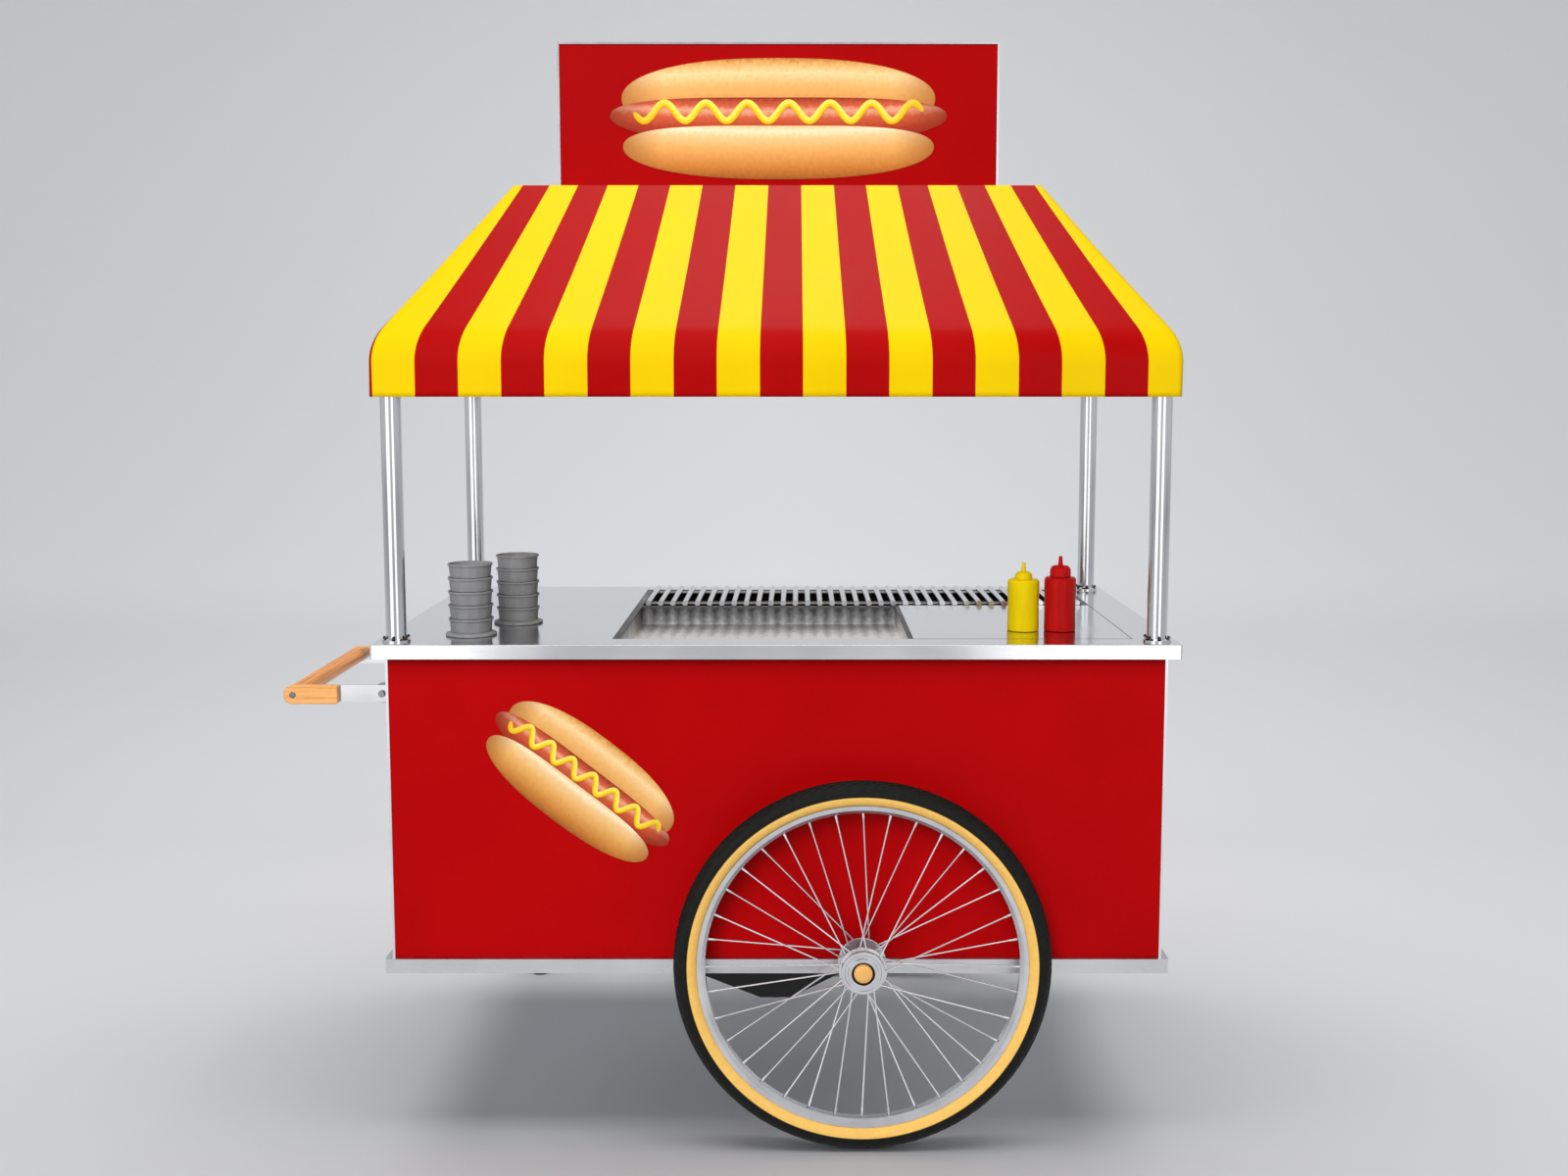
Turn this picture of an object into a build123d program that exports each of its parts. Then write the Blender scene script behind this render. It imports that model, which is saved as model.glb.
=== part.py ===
from build123d import *
from math import asin, atan2, cos, hypot, radians, sin
import os

# Hot dog cart. Millimetres, X along the cart, -Y towards the customer, +Z up.
# Everything is drawn about the middle of the counter and moved once, on export,
# so that the origin is on the ground under the middle of the overall box.

# Fits
REST_GAP = 0.2  # loose piece over what it stands on
RUN_GAP = 0.05  # radial, shaft turning in a hole
SIDE_GAP = 0.3  # faces that pass each other
DOOR_GAP = 3.0  # round the service door
AXLE_HOLE_GAP = 2.0  # radial, axle through sheet metal
OVERCUT = 1.0  # how far a cutter runs past the face it cuts

# Wheels and axle
WHEEL_D = 700.0
WHEEL_X = 159.0
WHEEL_STANDOFF = 45.0  # base lip to the middle of the wheel
TYRE_HEIGHT = 44.0
TYRE_WALL = 5.0
BEAD_DEPTH = 7.0
RIM_WIDTH = 30.0
RIM_WALL = 2.6
RIM_DEPTH = 15.0
RIM_FLOOR_WIDTH = 17.0
SPOKE_COUNT = 36
SPOKE_D = 4.0
SPOKE_CROSS_DEG = 19.0
SPOKE_SEAT_R = 50.0
SPOKE_SPREAD = 6.0  # of the two rows where they meet the rim
HUB_FLANGE_R = 57.0
HUB_FLANGE_T = 3.0
HUB_FLANGE_SPACING = 52.0
HUB_BARREL_R = 28.0
HUB_INNER_END = 38.0
HUB_FACE_R = 45.0
HUB_FACE_OUT = 44.0
HUB_FACE_CHAMFER = 5.0
HUB_RECESS_R = 21.5
BEARING_R = 20.0
BEARING_W = 12.0
BEARING_OUT = 32.0  # outer face of the outboard bearing
AXLE_D = 17.0
AXLE_ABOVE_BASE = 4.0
NUT_AF = 26.0
NUT_H = 9.5
CAP_R = 19.0
CAP_SKIRT = 5.0
CAP_WALL = 1.8
CAP_OUT = 5.0  # crown past the hub face
SPACER_R = 13.0
AXLE_BLOCK_W = 60.0
AXLE_BLOCK_D = 36.0
AXLE_BLOCK_CROWN = 22.0

# Base tray
BASE_EDGE = 27.0
BASE_PROUD = 12.0  # past the cabinet
BASE_SHEET = 2.0
BASE_RETURN = 42.0

# Cabinet
CABINET_HEIGHT = 573.0
PANEL_SHEET = 1.5
CORNER_EDGE = 4.5  # folded edge of the side panel seen from the front
PANEL_SEAM = 0.5
RAIL_T = 3.0
RAIL_H = 40.0
RAIL_LEDGE = 30.0
UPRIGHT_W = 30.0
BOARD_T = 9.0
BOARD_SEAM = 0.3

# Counter
COUNTER_LENGTH = 1490.0
COUNTER_DEPTH = 846.0
COUNTER_EDGE = 27.0
COUNTER_SHEET = 2.0
COUNTER_CORNER_R = 5.0
OVERHANG_X = 21.0  # past the cabinet's ends
OVERHANG_Y = 28.0  # past the cabinet's front and rear

# Well in the counter: margins to the counter's edges, the bun bin at its right, the grate at its back
WELL_MARGIN_LEFT = 437.0
WELL_MARGIN_RIGHT = 79.0
WELL_MARGIN_FRONT = 68.0
WELL_MARGIN_BACK = 57.0
BIN_LENGTH = 412.0
GRATE_DEPTH = 263.0
LEDGE = 12.0
LEDGE_T = 3.0
LEDGE_MARGIN = 15.0
PAN_SHEET = 2.0
PAN_FLANGE = 8.0
PAN_CORNER_R = 6.0
BASIN_DEPTH = 41.0
BIN_DEPTH = 156.0
FIRE_BOX_DEPTH = 116.0
PLATE_SHEET = 2.0
PLATE_SEAM = 2.0
GRATE_ROD_D = 12.0
GRATE_ROD_COUNT = 36
GRATE_CROSS_D = 8.0
GRATE_CROSS_INSET = 40.0
GRATE_END_GAP = 2.0

# Burner and gas
BURNER_BAR = 24.0
BURNER_H = 18.0
BURNER_INSET = 50.0
BURNER_RISE = 24.0
BURNER_FOOT_SHARE = 0.75  # of the way from its middle to its end
FEED_D = 16.0
VALVE_INSET = 246.0  # from the well's right end
VALVE_DEPTH = 80.0  # below the counter's top
VALVE_R = 13.0
STEM_D = 8.0
KNOB_R = 22.0
KNOB_H = 24.0
KNOB_GRIP_W = 9.0
PIPE_D = 10.0
PIPE_BEND_R = 24.0
PIPE_DEPTH = 36.0  # below the counter's top
GAS_INSET_X = 265.0  # from the counter's left end
GAS_INSET_Y = 273.0  # from its rear edge
GAS_R = 115.0
GAS_HEAD_ROOM = 173.0  # cabinet's height less the bottle's
GAS_WALL = 3.0
GAS_FOOT_R = 92.0
GAS_FOOT_H = 18.0
GAS_NECK_R = 15.0
REGULATOR_H = 42.0
REGULATOR_R = 22.0

# Drain
DRAIN_R = 22.5
DRAIN_WALL = 1.2
DRAIN_FLANGE_R = 38.0
DRAIN_SLIP = 0.3  # radial, outlet in the down pipe
DRAIN_LAP = 25.0
DRAIN_HOLE_GAP = 5.0  # round the pipe in the basin, the floor and the tray
SUMP_LENGTH = 455.0
SUMP_WIDTH = 280.0
SUMP_DEPTH = 110.0
SUMP_AHEAD = 37.0  # its middle in front of the drain
SUMP_FLOOR_LENGTH = 60.0
SUMP_FLOOR_WIDTH = 80.0
SUMP_FLOOR_RIGHT = 22.0  # right of the drain
SUMP_FLOOR_AHEAD = 83.0
SUMP_WALL = 1.5
SUMP_FLANGE = 15.0
PLUG_AF = 24.0
PLUG_H = 12.0

# Service door in the rear panel
DOOR_INSET = 105.0  # from the counter's left end
DOOR_WIDTH = 410.0
DOOR_RISE = 74.0  # above the base
DOOR_HEAD = 39.0  # below the counter's edge
DOOR_RETURN = 15.0
JAMB_LIP = 8.0
HINGE_LENGTH = 51.0
HINGE_LEAF = 28.0
HINGE_LEAF_T = 2.0
HINGE_KNUCKLE_R = 5.0
HINGE_PIN_D = 5.0
HINGE_FROM_END = 85.0
PULL_LENGTH = 120.0
PULL_D = 10.0
PULL_OUT = 30.0
PULL_INSET = 40.0

# Handle
HANDLE_LENGTH = 220.0  # past the counter's end
HANDLE_DEPTH = 129.0  # below the counter's top
ARM_SPACING = 444.0
ARM_H = 34.0
ARM_T = 8.0
ARM_PIVOT_OUT = 51.0  # from the side panel
ARM_ROOT = 40.0  # behind the pivot
CHEEK_LENGTH = 106.0
CHEEK_H = 37.0
CHEEK_T = 14.0
CHEEK_ROUND = 5.0
GRIP_D = 34.0
EAR_T = 6.0
EAR_R = 20.0
BRACKET_W = 46.0
BRACKET_H = 70.0
BRACKET_T = 3.0
STOP_T = 6.0
PIVOT_D = 8.0
PIVOT_HEAD_R = 7.0
PIVOT_HEAD_H = 4.5

# Posts, canopy and sign
POST_D = 38.0
POST_WALL = 2.0
POST_CAP = 5.0
POST_OVER_VALANCE = 26.0
BASE_RING_R = 26.0
BASE_RING_H = 6.0
CANOPY_INSET_X = 7.0
CANOPY_INSET_Y = 15.0
HEM_HEIGHT = 451.5  # above the counter
VALANCE = 61.0
EAVE_R = 116.0
ROOF_RUN = 228.0
ROOF_RISE = 342.0
COVER_T = 2.5
COVER_CORNER_R = 12.0
EAVE_STEPS = 4
EAVE_RAIL_T = 10.0
EAVE_RAIL_H = 25.0
EAVE_RAIL_RISE = 30.0  # above the hem
TOP_BAR = 20.0
TOP_BAR_INSET = 5.0
RAFTER_D = 20.0
SIGN_WIDTH = 890.0
SIGN_HEIGHT = 299.0
SIGN_T = 20.0
SIGN_EDGE = 4.0
SIGN_BOARD_T = 14.0
SIGN_FOOT_X = 300.0
SIGN_FOOT_W = 60.0
SIGN_FOOT_T = 4.0
SIGN_FOOT_BACK = 60.0
SIGN_FOOT_UP = 120.0

# Bottles and tubs
SAUCE_R = 30.5
SAUCE_WALL = 1.6
SAUCE_INSET_Y = 175.0  # from the counter's front edge
MUSTARD_INSET_X = 191.0  # from the well's right end
MUSTARD_BODY = 100.0
MUSTARD_CAP_R = 16.5
MUSTARD_CAP_H = 14.0
KETCHUP_INSET_X = 120.0
KETCHUP_BODY = 104.0
KETCHUP_CAP_R = 20.0
KETCHUP_CAP_H = 22.0
NOZZLE_R = 5.0
NOZZLE_TIP_R = 3.2
NOZZLE_H = 18.0
CAP_SHELL = 1.5
TUB_R = 41.2
TUB_TAPER = 2.6
TUB_WALL = 1.8
TUB_PITCH = 26.0
TUB_COUNT = 5
TUB_NEST = 3.0
TUB_BEAD = 4.0
TUB_RING_R = 48.0
TUB_RING_H = 7.0
TUBS_LEFT_INSET = (163.0, 122.0)  # from the counter's left end and front edge
TUBS_RIGHT_INSET = (226.0, 277.0)

# Parking leg, at the operator's side
LEG_INSET = 185.0  # from the counter's left end
LEG_DEPTH = 52.0  # pivot below the base top
LEG_LEAN = 24.0  # foot outboard of the pivot
LEG_D = 25.0
LEG_EYE_R = 19.0
LEG_EYE_W = 30.0
LEG_PIN_D = 14.0
LEG_BOSS_R = 16.0
LEG_PLATE_W = 80.0
LEG_PLATE_T = 5.0
LEG_NUT_R = 12.0
LEG_NUT_H = 9.0
FOOT_R = 22.0
FOOT_H = 16.0
STOP_LUG = 10.0

# Heights and half sizes that follow
AXLE_Z = WHEEL_D / 2
BASE_TOP = AXLE_Z - AXLE_ABOVE_BASE
BASE_BOTTOM = BASE_TOP - BASE_EDGE
COUNTER_TOP = BASE_TOP + CABINET_HEIGHT + COUNTER_EDGE
COUNTER_UNDER = COUNTER_TOP - COUNTER_SHEET
COUNTER_X = COUNTER_LENGTH / 2
COUNTER_Y = COUNTER_DEPTH / 2
CABINET_X = COUNTER_X - OVERHANG_X
CABINET_Y = COUNTER_Y - OVERHANG_Y
FRAME_HALF_X = CABINET_X - PANEL_SHEET
FRAME_HALF_Y = CABINET_Y - PANEL_SHEET
BASE_X = CABINET_X + BASE_PROUD
BASE_Y = CABINET_Y + BASE_PROUD
WHEEL_Y = BASE_Y + WHEEL_STANDOFF
BOARD_TOP = BASE_TOP + RAIL_H + BOARD_T
WELL_LEFT = WELL_MARGIN_LEFT - COUNTER_X
WELL_RIGHT = COUNTER_X - WELL_MARGIN_RIGHT
WELL_Y0 = WELL_MARGIN_FRONT - COUNTER_Y
WELL_Y1 = COUNTER_Y - WELL_MARGIN_BACK
SPLIT_X = WELL_RIGHT - BIN_LENGTH
SPLIT_Y = WELL_Y1 - GRATE_DEPTH
LEDGE_TOP = COUNTER_UNDER
LEDGE_BOTTOM = LEDGE_TOP - LEDGE_T
HALF_LEDGE = LEDGE / 2
HEM_Z = COUNTER_TOP + HEM_HEIGHT
EAVE_Z = HEM_Z + VALANCE
ROOF_Z = EAVE_Z + ROOF_RISE
CANOPY_X = COUNTER_X - CANOPY_INSET_X
CANOPY_Y = COUNTER_Y - CANOPY_INSET_Y
RAIL_OUT_X = CANOPY_X - COVER_T - SIDE_GAP
RAIL_OUT_Y = CANOPY_Y - COVER_T - SIDE_GAP
POST_X = RAIL_OUT_X - EAVE_RAIL_T - POST_D / 2
POST_Y = RAIL_OUT_Y - EAVE_RAIL_T - POST_D / 2
POST_TOP = EAVE_Z + POST_OVER_VALANCE
TOP_FRAME_Z = ROOF_Z - COVER_T - SIDE_GAP
TOP_FRAME_X = CANOPY_X - ROOF_RUN - TOP_BAR_INSET
TOP_FRAME_Y = CANOPY_Y - ROOF_RUN - TOP_BAR_INSET
PLATE_TOP = LEDGE_TOP + REST_GAP + PLATE_SHEET
VALVE_X = WELL_RIGHT - VALVE_INSET
GAS_X = GAS_INSET_X - COUNTER_X
GAS_Y = COUNTER_Y - GAS_INSET_Y
GAS_H = CABINET_HEIGHT - GAS_HEAD_ROOM
SAUCE_Y = SAUCE_INSET_Y - COUNTER_Y
MUSTARD_X = WELL_RIGHT - MUSTARD_INSET_X
KETCHUP_X = WELL_RIGHT - KETCHUP_INSET_X
DRAIN_X = (WELL_LEFT + SPLIT_X) / 2
DRAIN_Y = (WELL_Y0 + LEDGE + SPLIT_Y - HALF_LEDGE) / 2
DOOR_X0 = DOOR_INSET - COUNTER_X
DOOR_Z0 = BASE_TOP + DOOR_RISE
DOOR_HEIGHT = CABINET_HEIGHT - DOOR_RISE - DOOR_HEAD
HINGE_X = DOOR_X0 + DOOR_GAP / 2
HINGE_Y = CABINET_Y + HINGE_KNUCKLE_R + SIDE_GAP
PIVOT_X = -CABINET_X - ARM_PIVOT_OUT
GRIP_X = CHEEK_H / 2 - COUNTER_X - HANDLE_LENGTH
HANDLE_Z = COUNTER_TOP - HANDLE_DEPTH
ARM_IN = (ARM_SPACING - ARM_T) / 2
ARM_OUT = (ARM_SPACING + ARM_T) / 2
LEG_X = LEG_INSET - COUNTER_X
LEG_Y = WHEEL_Y
LEG_PIVOT_Z = BASE_TOP - LEG_DEPTH
ORIGIN_SHIFT = HANDLE_LENGTH / 2

os.makedirs("parts", exist_ok=True)


def save(name, *solids):
    """Write one named piece, or one group of like pieces, in the cart's frame."""
    shift = Pos(ORIGIN_SHIFT, 0, 0)
    moved = [shift * solid for solid in solids]
    export_step(moved[0] if len(moved) == 1 else Compound(children=moved), f"parts/{name}.step")


def block(x0, x1, y0, y1, z0, z1):
    """Box between two corners."""
    centre = Pos((x0 + x1) / 2, (y0 + y1) / 2, (z0 + z1) / 2)
    return centre * Box(x1 - x0, y1 - y0, z1 - z0)


def rod_y(radius, x, z, y0, y1):
    """Round bar along Y."""
    return Pos(x, (y0 + y1) / 2, z) * (Rot(90, 0, 0) * Cylinder(radius, y1 - y0))


def rod_z(radius, x, y, z0, z1):
    """Round bar along Z."""
    return Pos(x, y, (z0 + z1) / 2) * Cylinder(radius, z1 - z0)


def turned_y(*edges):
    """Solid of revolution about Y from edges through (0, y, radius) points."""
    return revolve(make_face(Curve() + list(edges)), Axis.Y)


def turned_z(*edges):
    """Solid of revolution about Z from edges through (radius, 0, z) points."""
    return revolve(make_face(Curve() + list(edges)), Axis.Z)


def outline_y(points):
    """Closed profile for turned_y from (y, radius) pairs."""
    return Polyline(*[(0, y, r) for y, r in points], close=True)


def outline_z(points):
    """Closed profile for turned_z from (radius, z) pairs."""
    return Polyline(*[(r, 0, z) for r, z in points], close=True)


def four_bars(half_x, half_y, width, z0, z1):
    """Rectangular ring of four straight bars that butt at the corners."""
    inner_y = half_y - width
    return [
        block(-half_x, half_x, -half_y, -inner_y, z0, z1),
        block(-half_x, half_x, inner_y, half_y, z0, z1),
        block(-half_x, width - half_x, -inner_y, inner_y, z0, z1),
        block(half_x - width, half_x, -inner_y, inner_y, z0, z1),
    ]


def axle_hole():
    """Clearance for the axle through sheet metal, right across the cart."""
    return rod_y(AXLE_D / 2 + AXLE_HOLE_GAP, WHEEL_X, AXLE_Z, -WHEEL_Y, WHEEL_Y)


# Base tray: a shallow pan whose lip turns in again under the cabinet
def base_tray():
    outer = block(-BASE_X, BASE_X, -BASE_Y, BASE_Y, BASE_BOTTOM, BASE_TOP)
    outer = fillet(outer.edges().filter_by(Axis.Z), COUNTER_CORNER_R)
    hx = BASE_X - BASE_SHEET
    hy = BASE_Y - BASE_SHEET
    hollow = block(-hx, hx, -hy, hy, BASE_BOTTOM + BASE_SHEET, BASE_TOP - BASE_SHEET)
    mx = BASE_X - BASE_RETURN
    my = BASE_Y - BASE_RETURN
    mouth = block(-mx, mx, -my, my, BASE_BOTTOM + BASE_SHEET, BASE_TOP + BASE_SHEET)
    pipe = rod_z(DRAIN_R + DRAIN_HOLE_GAP, DRAIN_X, DRAIN_Y, BASE_BOTTOM - BASE_SHEET, BASE_TOP)
    return outer - hollow - mouth - axle_hole() - pipe


# Cabinet: angle-iron frame, folded steel sides, painted front and rear
def cabinet_uprights():
    z0 = BASE_TOP + RAIL_H
    z1 = COUNTER_UNDER - RAIL_H
    bars = []
    for sx in (-1, 1):
        for sy in (-1, 1):
            web = Box(RAIL_T, UPRIGHT_W, z1 - z0, align=(Align.MAX, Align.MAX, Align.MIN))
            leg = Box(UPRIGHT_W, RAIL_T, z1 - z0, align=(Align.MAX, Align.MAX, Align.MIN))
            corner = web + leg
            if sx < 0:
                corner = mirror(corner, Plane.YZ)
            if sy < 0:
                corner = mirror(corner, Plane.XZ)
            bars.append(Pos(sx * FRAME_HALF_X, sy * FRAME_HALF_Y, z0) * corner)
    return bars


def bottom_rails():
    z1 = BASE_TOP + RAIL_H
    webs = four_bars(FRAME_HALF_X, FRAME_HALF_Y, RAIL_T, BASE_TOP, z1)
    inner_x = FRAME_HALF_X - RAIL_T
    inner_y = FRAME_HALF_Y - RAIL_T
    ledges = four_bars(inner_x, inner_y, RAIL_LEDGE, z1 - RAIL_T, z1)
    return [web + ledge - axle_hole() for web, ledge in zip(webs, ledges)]


def top_rails():
    return four_bars(FRAME_HALF_X, FRAME_HALF_Y, RAIL_T, COUNTER_UNDER - RAIL_H, COUNTER_UNDER)


def floor_boards():
    """A board each side of the drain, and a short one in front of it and behind it."""
    hx = FRAME_HALF_X - RAIL_T - SIDE_GAP
    hy = FRAME_HALF_Y - RAIL_T - SIDE_GAP
    gap = DRAIN_R + DRAIN_HOLE_GAP
    x0 = DRAIN_X - gap
    x1 = DRAIN_X + gap
    plans = [
        (-hx, x0 - BOARD_SEAM, -hy, hy), (x1 + BOARD_SEAM, hx, -hy, hy),
        (x0, x1, -hy, DRAIN_Y - gap), (x0, x1, DRAIN_Y + gap, hy),
    ]
    notch = UPRIGHT_W + SIDE_GAP
    corner = Box(2 * notch, 2 * notch, 4 * BOARD_T)
    corners = [Pos(sx * FRAME_HALF_X, sy * FRAME_HALF_Y, BOARD_TOP) * corner for sx in ENDS for sy in ENDS]
    return [block(*plan, BOARD_TOP - BOARD_T, BOARD_TOP) - corners for plan in plans]


def side_panel(side):
    x_out = side * CABINET_X
    x_in = side * FRAME_HALF_X
    x_edge = side * (CABINET_X - CORNER_EDGE)
    web = block(min(x_out, x_in), max(x_out, x_in), -CABINET_Y, CABINET_Y, BASE_TOP, COUNTER_UNDER)
    panel = web
    for sy in (-1, 1):
        y0, y1 = sorted((sy * FRAME_HALF_Y, sy * CABINET_Y))
        panel += block(min(x_out, x_edge), max(x_out, x_edge), y0, y1, BASE_TOP, COUNTER_UNDER)
    return panel


def panel_blank(sy):
    """Flat front or rear sheet between the folded edges of the sides."""
    hx = CABINET_X - CORNER_EDGE - PANEL_SEAM
    y0, y1 = sorted((sy * FRAME_HALF_Y, sy * CABINET_Y))
    return block(-hx, hx, y0, y1, BASE_TOP, COUNTER_UNDER) - axle_hole()


def rear_panel():
    x1 = DOOR_X0 + DOOR_WIDTH
    z1 = DOOR_Z0 + DOOR_HEIGHT
    depth = DOOR_RETURN + 2 * PANEL_SHEET + SIDE_GAP
    y0 = CABINET_Y - depth
    s = PANEL_SHEET
    jamb = block(DOOR_X0 - s, x1 + s, y0, FRAME_HALF_Y, DOOR_Z0 - s, z1 + s)
    jamb -= block(DOOR_X0, x1, y0 + s, CABINET_Y, DOOR_Z0, z1)
    jamb -= block(DOOR_X0 + JAMB_LIP, x1 - JAMB_LIP, y0 - s, CABINET_Y, DOOR_Z0 + JAMB_LIP, z1 - JAMB_LIP)
    panel = panel_blank(1) - block(DOOR_X0, x1, FRAME_HALF_Y - s, CABINET_Y + s, DOOR_Z0, z1)
    stem = rod_y(STEM_D / 2 + AXLE_HOLE_GAP, VALVE_X, COUNTER_TOP - VALVE_DEPTH, 0, WHEEL_Y)
    return panel + jamb - stem


# Service door: a shallow folded pan on two butt hinges
def service_door():
    x0 = DOOR_X0 + DOOR_GAP
    x1 = DOOR_X0 + DOOR_WIDTH - DOOR_GAP
    z0 = DOOR_Z0 + DOOR_GAP
    z1 = DOOR_Z0 + DOOR_HEIGHT - DOOR_GAP
    s = PANEL_SHEET
    pan = block(x0, x1, CABINET_Y - DOOR_RETURN, CABINET_Y, z0, z1)
    return pan - block(x0 + s, x1 - s, CABINET_Y - 2 * DOOR_RETURN, CABINET_Y - s, z0 + s, z1 - s)


def hinge_heights():
    return DOOR_Z0 + HINGE_FROM_END, DOOR_Z0 + DOOR_HEIGHT - HINGE_FROM_END


def hinge_leaf(z, side, knuckles, bore):
    """Leaf on the sheet's outer face; knuckles are thirds of its length, from 0 at the bottom."""
    third = HINGE_LENGTH / 3
    x0, x1 = sorted((HINGE_X + side * (HINGE_KNUCKLE_R + SIDE_GAP), HINGE_X + side * HINGE_LEAF))
    z0 = z - HINGE_LENGTH / 2
    leaf = block(x0, x1, CABINET_Y, CABINET_Y + HINGE_LEAF_T, z0, z0 + HINGE_LENGTH)
    for index in knuckles:
        k0 = z0 + index * third + SIDE_GAP
        k1 = z0 + (index + 1) * third - SIDE_GAP
        tab = block(*sorted((HINGE_X, HINGE_X + side * 2 * HINGE_KNUCKLE_R)), HINGE_Y - HINGE_KNUCKLE_R,
                    CABINET_Y + HINGE_LEAF_T, k0, k1)
        leaf += tab + rod_z(HINGE_KNUCKLE_R, HINGE_X, HINGE_Y, k0, k1)
    return leaf - rod_z(bore, HINGE_X, HINGE_Y, z0 - third, z0 + 4 * third)


def fixed_hinge(z):
    half = HINGE_LENGTH / 2
    pin = rod_z(HINGE_PIN_D / 2, HINGE_X, HINGE_Y, z - half, z + half)
    return hinge_leaf(z, -1, (0, 2), HINGE_PIN_D / 2), pin


def moving_hinge(z):
    return hinge_leaf(z, 1, (1,), HINGE_PIN_D / 2 + RUN_GAP)


def door_pull():
    x = DOOR_X0 + DOOR_WIDTH - DOOR_GAP - PULL_INSET
    z = DOOR_Z0 + DOOR_HEIGHT / 2
    half = PULL_LENGTH / 2
    y0 = CABINET_Y
    y1 = CABINET_Y + PULL_OUT - PULL_D / 2
    corners = [(x, y0, z - half), (x, y1, z - half), (x, y1, z + half), (x, y0, z + half)]
    path = FilletPolyline(*corners, radius=PULL_D)
    section = Plane(origin=corners[0], z_dir=(0, 1, 0)) * Circle(PULL_D / 2)
    return sweep(section, path=path)


# Counter: one folded sheet with a deep edge and a single well
def counter_top():
    slab = block(-COUNTER_X, COUNTER_X, -COUNTER_Y, COUNTER_Y, COUNTER_TOP - COUNTER_EDGE, COUNTER_TOP)
    slab = fillet(slab.edges().filter_by(Axis.Z), COUNTER_CORNER_R)
    slab = fillet(slab.faces().sort_by(Axis.Z)[-1].edges(), COUNTER_SHEET)
    hx = COUNTER_X - COUNTER_SHEET
    hy = COUNTER_Y - COUNTER_SHEET
    under = block(-hx, hx, -hy, hy, COUNTER_TOP - 2 * COUNTER_EDGE, COUNTER_UNDER)
    well_z1 = COUNTER_TOP + COUNTER_EDGE
    well = block(WELL_LEFT, WELL_RIGHT, WELL_Y0, WELL_Y1, COUNTER_UNDER - COUNTER_EDGE, well_z1)
    return slab - under - well


def well_bays():
    """Left, right, front and back of the openings: basin, bun bin, fire box."""
    left = WELL_LEFT + LEDGE
    right = WELL_RIGHT - LEDGE
    front = WELL_Y0 + LEDGE
    back = WELL_Y1 - LEDGE
    return (
        (left, SPLIT_X - HALF_LEDGE, front, SPLIT_Y - HALF_LEDGE),
        (SPLIT_X + HALF_LEDGE, right, front, SPLIT_Y - HALF_LEDGE),
        (left, right, SPLIT_Y + HALF_LEDGE, back),
    )


def well_frame():
    m = LEDGE_MARGIN
    frame = block(WELL_LEFT - m, WELL_RIGHT + m, WELL_Y0 - m, WELL_Y1 + m, LEDGE_BOTTOM, LEDGE_TOP)
    for x0, x1, y0, y1 in well_bays():
        frame -= block(x0, x1, y0, y1, LEDGE_BOTTOM - LEDGE_T, LEDGE_TOP + LEDGE_T)
    return frame


def hung_pan(bay, depth):
    """Pressed pan welded under the ledge, depth measured from the counter's top."""
    x0, x1, y0, y1 = bay
    floor = COUNTER_TOP - depth
    s = PAN_SHEET
    f = min(PAN_FLANGE, HALF_LEDGE)
    outer = block(x0 - s, x1 + s, y0 - s, y1 + s, floor - s, LEDGE_BOTTOM)
    outer = fillet(outer.edges().filter_by(Axis.Z), PAN_CORNER_R + s)
    outer = fillet(outer.faces().sort_by(Axis.Z)[0].edges(), PAN_CORNER_R / 2 + s)
    inner = block(x0, x1, y0, y1, floor, LEDGE_BOTTOM + depth)
    inner = fillet(inner.edges().filter_by(Axis.Z), PAN_CORNER_R)
    inner = fillet(inner.faces().sort_by(Axis.Z)[0].edges(), PAN_CORNER_R / 2)
    flange = block(x0 - f, x1 + f, y0 - f, y1 + f, LEDGE_BOTTOM - s, LEDGE_BOTTOM)
    return outer + flange - inner


def drip_basin():
    pan = hung_pan(well_bays()[0], BASIN_DEPTH)
    floor = COUNTER_TOP - BASIN_DEPTH
    return pan - rod_z(DRAIN_R + DRAIN_HOLE_GAP, DRAIN_X, DRAIN_Y, floor - BASIN_DEPTH, floor + PAN_SHEET)


def fire_box():
    pan = hung_pan(well_bays()[2], FIRE_BOX_DEPTH)
    back = well_bays()[2][3]
    z = COUNTER_TOP - VALVE_DEPTH
    return pan - rod_y(FEED_D / 2 + SIDE_GAP, VALVE_X, z, back - PAN_CORNER_R, back + PAN_CORNER_R)


def cover_plate():
    s = PLATE_SEAM
    z0 = LEDGE_TOP + REST_GAP
    plate = block(SPLIT_X + s, WELL_RIGHT - s, WELL_Y0 + s, SPLIT_Y - s, z0, PLATE_TOP)
    return fillet(plate.edges().filter_by(Axis.Z), s)


def grill_grate():
    x0 = WELL_LEFT + LEDGE
    x1 = WELL_RIGHT - LEDGE
    pitch = (x1 - x0) / GRATE_ROD_COUNT
    r = GRATE_ROD_D / 2
    z = LEDGE_TOP + REST_GAP + r
    y0 = SPLIT_Y + GRATE_END_GAP
    y1 = WELL_Y1 - GRATE_END_GAP
    rods = [rod_y(r, x0 + (i + 0.5) * pitch, z, y0, y1) for i in range(GRATE_ROD_COUNT)]
    bar = Rot(0, 90, 0) * Cylinder(GRATE_CROSS_D / 2, x1 - x0 - pitch / 2)
    cross = [Pos((x0 + x1) / 2, y, z - r) * bar for y in (y0 + GRATE_CROSS_INSET, y1 - GRATE_CROSS_INSET)]
    return Part() + rods + cross


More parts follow.
